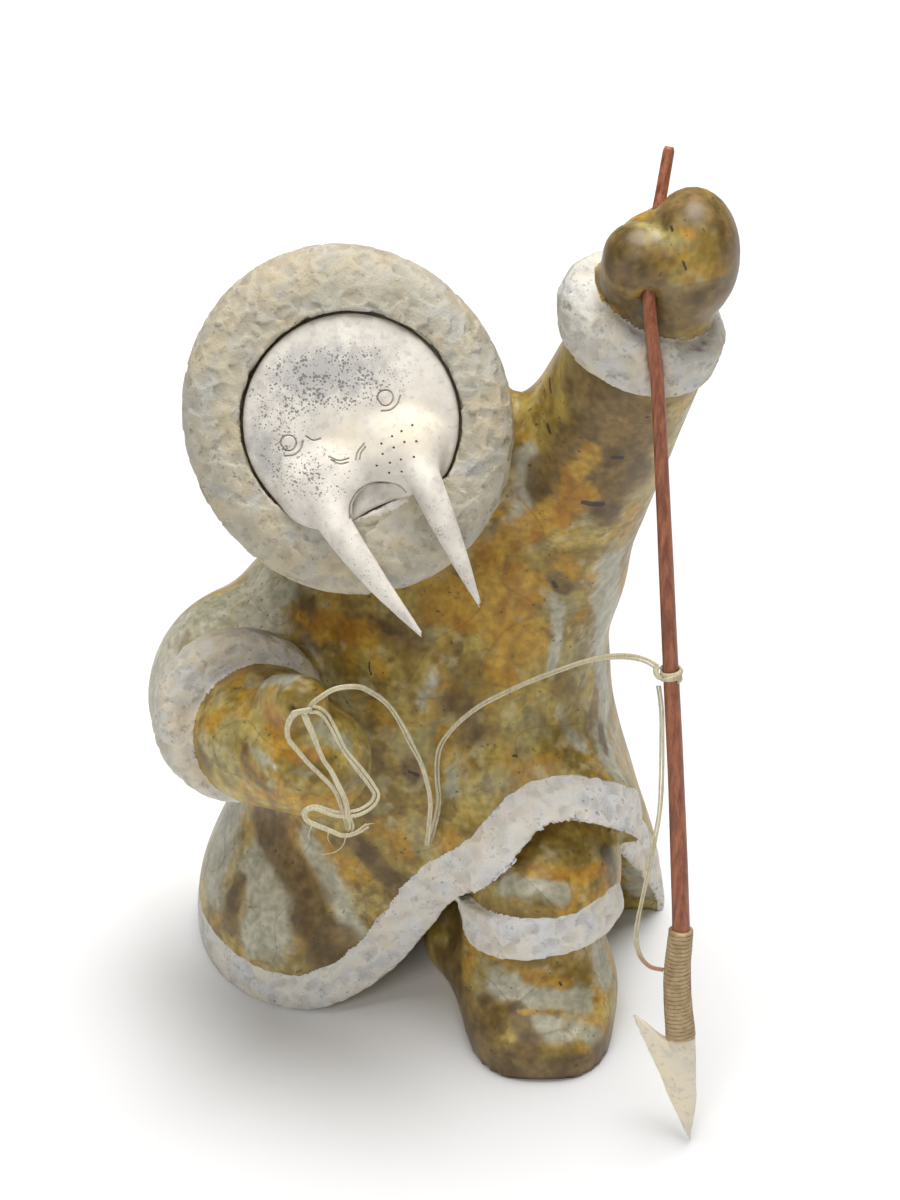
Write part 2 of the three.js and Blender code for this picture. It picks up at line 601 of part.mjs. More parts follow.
// ---------------------------------------------------------------- the group
const MATERIALS = {
  soapstone: { color: 0x8f7440, roughness: 0.32, metalness: 0 },
  antler: { color: 0xdcd6cb, roughness: 0.45, metalness: 0 },
  shaft: { color: 0x8e4526, roughness: 0.4, metalness: 0 },
  lashing: { color: 0xb08f62, roughness: 0.6, metalness: 0 },
  sinew: { color: 0xd9cba4, roughness: 0.6, metalness: 0 },
}

const group = new THREE.Group()
group.position.set(-BASE_CENTRE[0], -BASE_CENTRE[1], 0)

function addPiece(name, geometry, material) {
  const mesh = new THREE.Mesh(geometry, new THREE.MeshStandardMaterial(MATERIALS[material]))
  mesh.name = name
  group.add(mesh)
}

addPiece('stone_figure', geometryOf(figureSolid()), 'soapstone')
addPiece('walrus_face', geometryOf(walrusFaceSolid()), 'antler')
addPiece('harpoon_shaft', geometryOf(solid(bar(shaftCurve, shaftRadius, 10, 22))), 'shaft')
addPiece('harpoon_lashing', geometryOf(lashingSolid()), 'lashing')
addPiece('harpoon_head', geometryOf(harpoonHeadSolid()), 'antler')
addPiece('line_knot', geometryOf(knotSolid()), 'sinew')
addPiece('line_hand_to_shaft', geometryOf(solid(lineTube(LINE_HAND_TO_SHAFT))), 'sinew')
addPiece('line_shaft_to_head', geometryOf(solid(lineTube(LINE_SHAFT_TO_HEAD))), 'sinew')
addPiece('line_hank', geometryOf(hankSolid()), 'sinew')

export default group
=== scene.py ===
"""Soapstone hunter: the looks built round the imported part.

Modelling functions work in millimetres about the middle of the base, as the part's source does;
a piece is shifted by ORIGIN_SHIFT and scaled to metres when its mesh is made.
"""
import math
import bmesh
import bpy
import numpy as np
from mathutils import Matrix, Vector


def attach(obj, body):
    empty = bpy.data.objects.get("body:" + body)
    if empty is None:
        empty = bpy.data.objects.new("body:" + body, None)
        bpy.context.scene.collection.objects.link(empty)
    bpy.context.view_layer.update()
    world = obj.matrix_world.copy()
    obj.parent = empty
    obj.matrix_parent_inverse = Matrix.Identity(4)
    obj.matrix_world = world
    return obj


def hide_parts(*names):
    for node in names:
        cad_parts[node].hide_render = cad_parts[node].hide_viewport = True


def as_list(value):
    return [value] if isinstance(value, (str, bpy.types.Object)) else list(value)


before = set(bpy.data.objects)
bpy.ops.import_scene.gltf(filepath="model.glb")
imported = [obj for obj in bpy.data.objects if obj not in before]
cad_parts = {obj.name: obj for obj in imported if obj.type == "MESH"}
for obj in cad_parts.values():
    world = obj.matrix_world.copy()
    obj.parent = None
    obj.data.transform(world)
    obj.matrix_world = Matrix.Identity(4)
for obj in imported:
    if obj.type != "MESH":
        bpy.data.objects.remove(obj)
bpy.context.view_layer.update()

MM = 0.001
ORIGIN_SHIFT = np.array([7.0, 32.7, 0.0])


def metres(points):
    return (np.asarray(points, float) + ORIGIN_SHIFT) * MM


# ------------------------------------------------------------------ camera
ELEVATION = math.radians(35)
CAMERA_DISTANCE = 1100
CAMERA_TARGET = np.array([0.0, -20.0, 137.0])
CAMERA_LENS, CAMERA_SENSOR = 105.6, 36


def make_camera():
    data = bpy.data.cameras.new("camera")
    data.sensor_fit = "VERTICAL"
    data.sensor_height = CAMERA_SENSOR
    data.lens = CAMERA_LENS
    data.clip_end = 20
    camera = bpy.data.objects.new("camera", data)
    towards = np.array([0, math.cos(ELEVATION), -math.sin(ELEVATION)])
    camera.location = metres(CAMERA_TARGET - CAMERA_DISTANCE * towards)
    camera.rotation_euler = (math.pi / 2 - ELEVATION, 0, 0)
    bpy.context.scene.collection.objects.link(camera)
    bpy.context.scene.camera = camera


make_camera()


# ------------------------------------------------------------------ small helpers
def unit(v):
    v = np.asarray(v, float)
    return v / np.linalg.norm(v)


def axes_about(direction, towards=(1, 0, 0)):
    w = unit(direction)
    u = np.asarray(towards, float)
    u = unit(u - w * (u @ w))
    return np.stack([u, np.cross(w, u), w])


def smooth_min(a, b, k):
    h = np.maximum(k - np.abs(a - b), 0) / k
    return np.minimum(a, b) - h * h * k / 4


def smooth_max(a, b, k):
    return -smooth_min(-a, -b, k)


def ramp(x, low, high):
    t = np.clip((x - low) / (high - low), 0, 1)
    return t * t * (3 - 2 * t)


def through(xs, ys, x):
    """Smooth curve through (xs, ys), level beyond its ends."""
    xs, ys = np.asarray(xs, float), np.asarray(ys, float)
    x = np.clip(x, xs[0], xs[-1])
    slope = np.empty_like(ys)
    slope[1:-1] = (ys[2:] - ys[:-2]) / (xs[2:] - xs[:-2])
    slope[0] = (ys[1] - ys[0]) / (xs[1] - xs[0])
    slope[-1] = (ys[-1] - ys[-2]) / (xs[-1] - xs[-2])
    i = np.clip(np.searchsorted(xs, x) - 1, 0, len(xs) - 2)
    h = xs[i + 1] - xs[i]
    t = (x - xs[i]) / h
    start = (1 + 2 * t) * (1 - t) ** 2 * ys[i] + t * (1 - t) ** 2 * h * slope[i]
    return start + t * t * (3 - 2 * t) * ys[i + 1] + t * t * (t - 1) * h * slope[i + 1]


CUBE = [(i, j, k) for i in (0, 1) for j in (0, 1) for k in (0, 1)]
NEIGHBOURS = [(i, j, k) for i in (-1, 0, 1) for j in (-1, 0, 1) for k in (-1, 0, 1)]


def hashed(cells, seed):
    """Repeatable pseudo-random numbers from 0 to 1, three for each integer cell."""
    n = cells.astype(np.int64)
    out = []
    for k in range(3):
        h = n[:, 0] * 374761393 + n[:, 1] * 668265263 + n[:, 2] * 2147483647
        h = h + (seed * 3 + k) * 974634777
        h = (h ^ (h >> 13)) * 1274126177
        h = h ^ (h >> 16)
        out.append((h & 0xFFFFFF) / float(0x1000000))
    return np.stack(out, -1)


def value_noise(points, size, seed):
    """Smooth noise from -1 to 1 with features of the given size."""
    q = points / size
    base = np.floor(q).astype(np.int64)
    f = q - base
    f = f * f * (3 - 2 * f)
    total = np.zeros(len(points))
    for corner in CUBE:
        total += hashed(base + corner, seed)[:, 0] * np.where(corner, f, 1 - f).prod(1)
    return total * 2 - 1


# ------------------------------------------------------------------ distance fields
def ellipsoid(p, centre, radii, axes=np.eye(3)):
    q = (p - centre) @ axes.T
    radii = np.asarray(radii, float)
    inner = np.linalg.norm(q / radii, axis=-1)
    return inner * (inner - 1) / np.maximum(np.linalg.norm(q / radii ** 2, axis=-1), 1e-9)


def limb(p, start, end, radii):
    start, end = np.asarray(start, float), np.asarray(end, float)
    axis = end - start
    length = np.linalg.norm(axis)
    axis = axis / length
    sine = (radii[0] - radii[1]) / length
    cosine = math.sqrt(1 - sine * sine)
    q = p - start
    y = q @ axis
    x = np.sqrt(np.maximum((q * q).sum(-1) - y * y, 0))
    along = y * cosine - x * sine
    side = x * cosine + y * sine - radii[0]
    low, high = np.hypot(x, y) - radii[0], np.hypot(x, y - length) - radii[1]
    return np.where(along < 0, low, np.where(along > length * cosine, high, side))


def rounded(radial, axial, edge):
    outside = np.hypot(np.maximum(radial, 0), np.maximum(axial, 0))
    return np.minimum(np.maximum(radial, axial), 0) + outside - edge


def block(p, centre, half, edge, power):
    q = np.abs(p - centre)
    plan = ((q[..., 0] / half[0]) ** power + (q[..., 1] / half[1]) ** power) ** (1 / power)
    return rounded((plan - 1) * min(half[:2]) + edge, q[..., 2] - half[2] + edge, edge)


def disc(p, centre, axes, across, along, half, edge):
    q = (p - centre) @ axes.T
    plan = np.hypot(q[..., 0] / across, q[..., 1] / along)
    return rounded((plan - 1) * min(across, along) + edge, np.abs(q[..., 2]) - half + edge, edge)


def beside(p, start, end):
    """Distance to a straight stretch, and the share of it at which the nearest point lies."""
    edge = end - start
    t = np.clip(((p - start) @ edge) / (edge @ edge), 0, 1)
    return np.linalg.norm(p - start - t[..., None] * edge, axis=-1), t


def path_distance(p, points):
    """Distance to the straight stretches that join points."""
    best = np.linalg.norm(p - points[0], axis=-1)
    for start, end in zip(points[:-1], points[1:]):
        best = np.minimum(best, beside(p, start, end)[0])
    return best


# ------------------------------------------------------------------ the carved figure's sizes
BELL_HEIGHTS = [0, 25, 50, 85, 115, 140, 160, 176]
BELL_RIGHT = [73, 69, 62, 53.5, 50.5, 46, 37, 20]
BELL_LEFT = [-82, -78, -70, -62, -58, -52, -40, -22]
BELL_FRONT = [-52, -56, -58, -57, -50, -42, -32, -16]
BELL_BACK = [50, 53, 54, 51, 44, 35, 25, 10]
BELL_TOP, BELL_TOP_EDGE = 172, 20

HEM_AXIS_X = -5
HEM_ANGLES = [-20, 3, 9, 22, 37, 50, 60, 68, 75, 82, 92, 105, 125, 150]
HEM_HEIGHTS = [0, 0, 12, 37, 64, 81, 86, 81, 68, 51, 32, 14, 0, 0]
SKIRT_BACK_WALL_Y = -8
SKIRT_WALL_KINK_X = 14
SKIRT_WALL_SLOPE = 0.55
HEM_BAND_WIDTH = 16.5

FACE_CENTRE = np.array([-28.9, -50, 221.4])
FACE_TILT = math.radians(30)
FACE_ROLL = math.radians(24)
RUFF_HALF = dict(across=48.3, along=52.4, half=13, edge=11)
RECESS = dict(radius=32.25, closed_radius=31.95, chin_v=-25.9, depth=6)
CUFF_RIGHT = dict(centre=[55.5, -42, 248.5], axis=[0.28, -0.1, 0.95], radius=24.4, half=9, edge=6)
CUFF_LEFT = dict(centre=[-65, -49, 114], axis=[0.22, -0.84, 0.46], radius=27.3, half=8.5, edge=6)
SHIN_BAND = dict(centre=[28.8, -55, 45], axis=[-0.2, 0.185, 1], radius=26.3, half=8, edge=2.5)
CUFF_RISE = dict(centre=[53.5, -41, 252.2], axis=[0.38, -0.1, 0.92], radius=23.4, half=7.5, edge=6)
LINE_BORE = [-42.2, -90.5, 146.5], [-46.5, -76, 138.5], [1.9, 1.9]

# Rounded forms: centre and radii of an ellipsoid, or start, end and radii of a limb.
KNEELING_KNEE = [-44, -20, 10], [37, 39.5, 44]
OVER_RAISED_KNEE = [28.5, -43, 66], [33, 35, 31]
RAISED_SLEEVE = [28, -8, 150], [55, -40, 240], [27, 20.5]
UPPER_SLEEVE = [-46, -2, 116], [-69, -18, 98], [25, 25]
FORE_SLEEVE = [-69, -18, 98], [-65, -44, 112], [25, 23]
ELBOW = [-66, -13.5, 106.5], [26, 24, 26]
HOOD = dict(setback=30, radii=[46, 50, 40])
KNEE, HIP = ([30, -47, 54], [25, 32, 26]), ([17, -14, 56], [30, 30, 28])
SHIN, HEEL = ([26, -46, 46], [28, -58, 18], [22.5, 22]), ([10, -34, 14], [26, -50, 14], [19, 22])
FOOT = np.array([29, -62, 2]), [23.5, 30, 17], 11, 2.6
RIGHT_WRIST = [56, -40, 252], [63, -45.2, 270], [19, 17]
RIGHT_FIST = [68.5, -49, 278], [13.5, 17, 18.5]
RIGHT_THUMB = [53, -55, 279], [53, -50, 270], [10.4, 10.6]
RIGHT_THUMB_ROOT = [57.5, -46, 281], [9.5, 7.5, 6.8]
LEFT_FIST = [-57, -58.6, 113.2], [-41, -78, 118.6], [21.8, 17.5]
LEFT_THUMB = [-50, -70, 134.5], [-44, -79, 141.5], [9, 8]
LEFT_CREASE = [-49.5, -86, 147.5], [-46.5, -91, 145], [1.5, 1.5]


def face_axes():
    out = np.array([0, -math.cos(FACE_TILT), math.sin(FACE_TILT)])
    level = np.array([1.0, 0, 0])
    rise = np.cross(out, level)
    across = level * math.cos(FACE_ROLL) + rise * math.sin(FACE_ROLL)
    return np.stack([across, np.cross(out, across), out])


FACE = face_axes()
RUFF_CENTRE = FACE_CENTRE + np.array([-0.8, 0.8, -10]) @ FACE


def hem_angle(p):
    return np.degrees(np.arctan2(-p[..., 1], p[..., 0] - HEM_AXIS_X))


def hem_height(p):
    return through(HEM_ANGLES, HEM_HEIGHTS, hem_angle(p))


def bell(p):
    x, y, z = p[..., 0], p[..., 1], p[..., 2]
    right, left, front, back = (through(BELL_HEIGHTS, side, z)
                                for side in (BELL_RIGHT, BELL_LEFT, BELL_FRONT, BELL_BACK))
    half_x, half_y = (right - left) / 2, (back - front) / 2
    plan = np.hypot((x - (right + left) / 2) / half_x, (y - (back + front) / 2) / half_y)
    return smooth_max((plan - 1) * np.minimum(half_x, half_y), z - BELL_TOP, BELL_TOP_EDGE)


def uncut_coat(p):
    d = smooth_min(bell(p), ellipsoid(p, *KNEELING_KNEE), 16)
    d = smooth_min(d, ellipsoid(p, *OVER_RAISED_KNEE), 12)
    d = smooth_min(d, limb(p, *RAISED_SLEEVE), 20)
    sleeve = smooth_min(limb(p, *UPPER_SLEEVE), limb(p, *FORE_SLEEVE), 10)
    sleeve = smooth_min(sleeve, ellipsoid(p, *ELBOW), 6)
    past_cuff = (p - np.array(CUFF_LEFT["centre"])) @ unit(CUFF_LEFT["axis"])
    sleeve = smooth_max(sleeve, past_cuff - 3, 1)
    hood = ellipsoid(p, FACE_CENTRE - HOOD["setback"] * FACE[2], HOOD["radii"], FACE)
    return smooth_min(smooth_min(d, sleeve, 14), hood, 14)


def under_hem(p):
    """Below zero in the space under the raised hem."""
    around = np.maximum(np.hypot(p[..., 0] - HEM_AXIS_X, p[..., 1]), 8)
    above = (p[..., 2] - hem_height(p)) / np.sqrt(1 + (hem_slope(p) / around) ** 2)
    left_of_kink = np.maximum(SKIRT_WALL_KINK_X - p[..., 0], 0)
    wall = p[..., 1] - SKIRT_BACK_WALL_Y + SKIRT_WALL_SLOPE * left_of_kink
    return np.maximum(above, wall / np.where(left_of_kink > 0, math.hypot(1, SKIRT_WALL_SLOPE), 1))


def hem_slope(p):
    """Rise of the hem's edge for each radian round its axis."""
    angle, step = hem_angle(p), 0.5
    above, below = (through(HEM_ANGLES, HEM_HEIGHTS, angle + turn) for turn in (step, -step))
    return (above - below) / math.radians(2 * step)


def band(p, centre, axis, radius, half, edge):
    return disc(p, centre, axes_about(axis), radius, radius, half, edge)


def figure_parts(p):
    """Distances to the carved figure's regions, in the order of REGIONS."""
    coat = smooth_max(uncut_coat(p), -under_hem(p), 1.6)
    thigh = smooth_min(ellipsoid(p, *KNEE), ellipsoid(p, *HIP), 10)
    boot = smooth_min(limb(p, *SHIN), block(p, *FOOT), 14)
    boot = smooth_min(boot, limb(p, *HEEL), 10)
    mitt_right = smooth_min(limb(p, *RIGHT_WRIST), ellipsoid(p, *RIGHT_FIST), 6)
    mitt_right = smooth_min(mitt_right, limb(p, *RIGHT_THUMB), 2)
    mitt_right = smooth_min(mitt_right, ellipsoid(p, *RIGHT_THUMB_ROOT), 2)
    mitt_left = smooth_min(limb(p, *LEFT_FIST), limb(p, *LEFT_THUMB), 5)
    mitt_left = smooth_max(mitt_left, -limb(p, *LEFT_CREASE), 4)
    cuff_right = smooth_min(band(p, **CUFF_RIGHT), band(p, **CUFF_RISE), 4)
    ruff = disc(p, RUFF_CENTRE, FACE, **RUFF_HALF)
    return [coat, thigh, boot, mitt_right, mitt_left,
            band(p, **SHIN_BAND), cuff_right, band(p, **CUFF_LEFT), ruff]


REGIONS = ["coat", "thigh", "boot", "mitt_right", "mitt_left",
           "shin_band", "cuff_right", "cuff_left", "ruff"]
# How white each chiselled trim is.
TRIMS = dict(ruff=0.0, cuff_right=0.55, cuff_left=0.5, shin_band=0.9)


def figure_field(p):
    parts = figure_parts(p)
    d = parts[0]
    for part in parts[1:]:
        d = smooth_min(d, part, 1.4)
    u, v, w = np.moveaxis((p - FACE_CENTRE) @ FACE.T, -1, 0)
    closed = ramp(-v, 14, 20) * ramp(-u, -5, 5)
    recess = np.hypot(u, v) - RECESS["radius"] + (RECESS["radius"] - RECESS["closed_radius"]) * closed
    recess = np.maximum(recess, RECESS["chin_v"] - v)
    d = smooth_max(d, -np.maximum(recess, -w - RECESS["depth"]), 0.4)
    d = smooth_max(d, -p[..., 2], 1.2)
    d = smooth_max(d, -shaft_distance(p, 0.25), 0.6)
    return smooth_max(d, -limb(p, *LINE_BORE), 0.8)


# ------------------------------------------------------------------ harpoon and line sizes
SHAFT_PATH = [
    (62, -33, 302.5), (60.2, -38, 293), (58, -46, 284), (55.9, -58, 276), (56.4, -63.8, 264.5),
    (58.7, -67.7, 246.6), (61.3, -75.2, 210.8), (64.4, -84.9, 164.6), (67.3, -93.6, 123.1),
    (70.1, -104, 73.6), (71, -108.5, 52.5)]
SHAFT_RADII = (1.7, 2.8)
HEAD_POINT = np.array([74.8, -119.4, 0.2])
HEAD_AXIS = unit([-0.0918, 0.205, 0.974])
BLADE_CORNERS = [(0, 0, 0), (-3.2, 0.5, 15.3), (-4.3, 1.2, 38), (5.4, 1.2, 38), (6.2, 0.5, 20),
                 (0.8, 3.3, 37), (0.4, 1.5, 12)]
BARB_CORNERS = [(15.8, 0, 49.8), (4.8, 1.2, 37.5), (0.4, 0.4, 3), (3.4, 2.6, 35), (7.8, 0.5, 25)]
HEAD_NECK = dict(side=0.4, start=30, end=49, radius=3)
LASHING = dict(foot=38.5, middle=57.8, shaft_share=0.918, radii=(4.8, 3.9))
KNOT = dict(z=157.5, wall=1.4)

LINE_HAND_TO_SHAFT = [
    (-42, -89.5, 145.5), (-40, -91, 150), (-37.5, -91.5, 152.5), (-34.5, -90.5, 154), (-31, -89, 154),
    (-26.5, -87, 152.5), (-22, -84, 147.5), (-18, -81, 141), (-15, -78, 133), (-12, -75, 123),
    (-9, -72.5, 113.5), (-7, -70.5, 104), (-6, -69.5, 95.5), (-6.5, -69, 87.5), (-7, -68, 80.5),
    (-7, -65, 75.5), (-6, -61.5, 75.5), (-5, -60.3, 79), (-4, -59.8, 84), (-3.5, -59, 89),
    (-4, -57.5, 95), (-4, -56.5, 101.5), (-3, -56, 107), (0, -55, 112), (4.5, -55, 117.5),
    (10.5, -56.5, 124), (17, -59, 130), (24, -63, 137), (32, -68, 144.5), (39.5, -73, 151.5),
    (46, -77.5, 156.5), (52.5, -82, 160), (57.5, -85.5, 161), (60.8, -87.5, 160)]
LINE_SHAFT_TO_HEAD = [
    (61.2, -88.3, 154), (62.2, -90, 147), (62.6, -92, 137), (62.8, -94.5, 127.5), (62.4, -97, 113.5),
    (60.5, -99.5, 100), (58.5, -102, 87.5), (57, -104, 78.5), (56.5, -105.5, 71), (58, -106.5, 65),
    (61, -107, 61.5), (65, -107.3, 60.5)]


def curve_points(corners, spacing):
    """Centripetal Catmull-Rom curve through the corners, resampled to an even spacing."""
    c = np.asarray(corners, float)
    ends = np.concatenate([[2 * c[0] - c[1]], c, [2 * c[-1] - c[-2]]])
    dense = []
    for i in range(1, len(ends) - 2):
        level = list(ends[i - 1:i + 3])
        gaps = np.linalg.norm(np.diff(level, axis=0), axis=1) ** 0.5
        knots = np.concatenate([[0], np.cumsum(gaps)])
        t = np.linspace(knots[1], knots[2], 24, endpoint=False)[:, None]
        for spans in (((0, 1), (1, 2), (2, 3)), ((0, 2), (1, 3)), ((1, 2),)):
            level = [((knots[b] - t) * low + (t - knots[a]) * high) / (knots[b] - knots[a])
                     for (a, b), low, high in zip(spans, level[:-1], level[1:])]
        dense.append(level[0])
    dense = np.concatenate(dense + [ends[-2:-1]])
    along = np.concatenate([[0], np.cumsum(np.linalg.norm(np.diff(dense, axis=0), axis=1))])
    count = max(int(round(along[-1] / spacing)), 2)
    even = np.linspace(0, along[-1], count + 1)
    return np.stack([np.interp(even, along, dense[:, k]) for k in range(3)], -1)


def length_of(points):
    return float(np.linalg.norm(np.diff(points, axis=0), axis=1).sum())


SHAFT_LINE = curve_points(SHAFT_PATH, 1.0)
SHAFT_SHARE = np.linspace(0, 1, len(SHAFT_LINE))


def shaft_distance(p, clearance):
    """Distance to the shaft, from the two dozen of its points that lie in the raised mitt."""
    near = SHAFT_LINE[SHAFT_LINE[:, 2] > 235]
    best = np.full(p.shape[:-1], 1e3)
    box = (np.abs(p[..., :2] - (59, -52)) < (14, 26)).all(-1) & (p[..., 2] > 238)
    if box.any():
        best[box] = path_distance(p[box], near) - (1.85 + clearance)
    return best


# ------------------------------------------------------------------ surfaces
def surface_nets(field, low, high, cell):
    """Vertices and quads of a field's zero surface inside a box."""
    low = np.asarray(low, float)
    count = np.ceil((np.asarray(high, float) - low) / cell).astype(int) + 1
    lines = [low[k] + cell * np.arange(count[k]) for k in range(3)]
    value = np.empty(tuple(count), np.float32)
    for i in range(0, count[0], 16):
        slab = np.meshgrid(lines[0][i:i + 16], lines[1], lines[2], indexing="ij")
        value[i:i + 16] = field(np.stack(slab, -1))
    inside = value < 0
    views = [inside[tuple(slice(k, n - 1 + k) for k, n in zip(c, count))] for c in CUBE]
    some = np.any(views, axis=0) & ~np.all(views, axis=0)
    index = np.full(some.shape, -1)
    index[some] = np.arange(some.sum())
    cells = np.argwhere(some)
    at = {c: value[tuple((cells + c).T)] for c in CUBE}
    total, crossings = np.zeros((len(cells), 3)), np.zeros(len(cells))
    for c, axis in [(c, axis) for c in CUBE for axis in range(3) if not c[axis]]:
        far = tuple(1 if k == axis else c[k] for k in range(3))
        cut = (at[c] < 0) != (at[far] < 0)
        place = np.tile(np.array(c, float), (len(cells), 1))
        place[:, axis] = at[c] / np.where(cut, at[c] - at[far], 1)
        total[cut] += place[cut]
        crossings[cut] += 1
    vertices = low + cell * (cells + total / crossings[:, None])
    quads = []
    for axis in range(3):
        b, c = (axis + 1) % 3, (axis + 2) % 3
        here, there = [slice(1, -1)] * 3, [slice(1, -1)] * 3
        here[axis], there[axis] = slice(0, -1), slice(1, None)
        base = np.argwhere(inside[tuple(here)] != inside[tuple(there)])
        base[:, [b, c]] += 1
        steps = np.zeros((4, 3), int)
        steps[:, b], steps[:, c] = (1, 0, 0, 1), (1, 1, 0, 0)
        ring = np.stack([index[tuple((base - step).T)] for step in steps], 1)
        outward = ~inside[tuple(base.T)]
        ring[outward] = ring[outward][:, ::-1]
        quads.append(ring)
    return vertices, np.concatenate(quads)


def gradient(field, points):
    nudge = 0.05
    rises = [field(points + nudge * e) - field(points - nudge * e) for e in np.eye(3)]
    return np.stack(rises, -1) / (2 * nudge)


def settle(field, points, reach, rounds=3):
    """Moves points onto the field's zero surface, by at most the given reach in a round."""
    for _ in range(rounds):
        g = gradient(field, points)
        step = -(field(points) / np.maximum((g * g).sum(-1), 0.05))[:, None] * g
        size = np.linalg.norm(step, axis=1, keepdims=True)
        points = points + step * np.minimum(1, reach / np.maximum(size, 1e-9))
    return points


def triangles_of(vertices, quads):
    first = np.linalg.norm(vertices[quads[:, 0]] - vertices[quads[:, 2]], axis=1)
    second = np.linalg.norm(vertices[quads[:, 1]] - vertices[quads[:, 3]], axis=1)
    q = np.where((first <= second)[:, None], quads, np.roll(quads, -1, axis=1))
    return np.concatenate([q[:, [0, 1, 2]], q[:, [0, 2, 3]]])


# How a triangle with corners 0, 1, 2 and edge middles 3, 4, 5 is split, by which edges are cut.
SPLITS = [[(0, 1, 2)], [(0, 3, 2), (3, 1, 2)], [(1, 4, 0), (4, 2, 0)],
          [(3, 1, 4), (0, 3, 4), (0, 4, 2)], [(2, 5, 1), (5, 0, 1)],
          [(5, 0, 3), (2, 5, 3), (2, 3, 1)], [(4, 2, 5), (1, 4, 5), (1, 5, 0)],
          [(0, 3, 5), (3, 1, 4), (5, 4, 2), (3, 4, 5)]]


def refine(vertices, triangles, wanted):
    """Splits the wanted triangles in four, and their neighbours so that no gap opens."""
    edges = np.sort(np.concatenate([triangles[:, pair] for pair in ([0, 1], [1, 2], [2, 0])]), axis=1)
    key = edges[:, 0].astype(np.int64) * len(vertices) + edges[:, 1]
    names, inverse = np.unique(key, return_inverse=True)
    marked = np.zeros(len(names), bool)
    marked[inverse[np.tile(wanted, 3)]] = True
    number = np.full(len(names), -1)
    number[marked] = len(vertices) + np.arange(marked.sum())
    a, b = names[marked] // len(vertices), names[marked] % len(vertices)
    grown = np.concatenate([vertices, (vertices[a] + vertices[b]) / 2])
    middles = number[inverse].reshape(3, -1).T
    kinds = (middles >= 0) @ np.array([1, 2, 4])
    six = np.concatenate([triangles, middles], axis=1)
    return grown, np.concatenate([six[kinds == kind][:, list(corners)]
                                  for kind, split in enumerate(SPLITS) for corners in split])


def vertex_normals(vertices, triangles):
    a, b, c = (vertices[triangles[:, k]] for k in range(3))
    face = np.cross(b - a, c - a)
    normals = np.zeros_like(vertices)
    for k in range(3):
        for axis in range(3):
            normals[:, axis] += np.bincount(triangles[:, k], face[:, axis], len(vertices))
    return normals / np.maximum(np.linalg.norm(normals, axis=1, keepdims=True), 1e-9)


def make_object(name, vertices, faces, material, **attributes):
    mesh = bpy.data.meshes.new(name)
    faces = np.asarray(faces)
    mesh.vertices.add(len(vertices))
    mesh.vertices.foreach_set("co", metres(vertices).astype(np.float32).ravel())
    mesh.loops.add(faces.size)
    mesh.loops.foreach_set("vertex_index", faces.astype(np.int32).ravel())
    mesh.polygons.add(len(faces))
    mesh.polygons.foreach_set("loop_start", (np.arange(len(faces)) * faces.shape[1]).astype(np.int32))
    mesh.update(calc_edges=True)
    mesh.validate()
    mesh.shade_smooth()
    for key, values in attributes.items():
        layer = mesh.attributes.new(key, "FLOAT", "POINT")
        layer.data.foreach_set("value", np.broadcast_to(values, len(vertices)).astype(np.float32))
    mesh.materials.append(material)
    piece = bpy.data.objects.new(name, mesh)
    bpy.context.scene.collection.objects.link(piece)
    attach(piece, "root")
    return piece


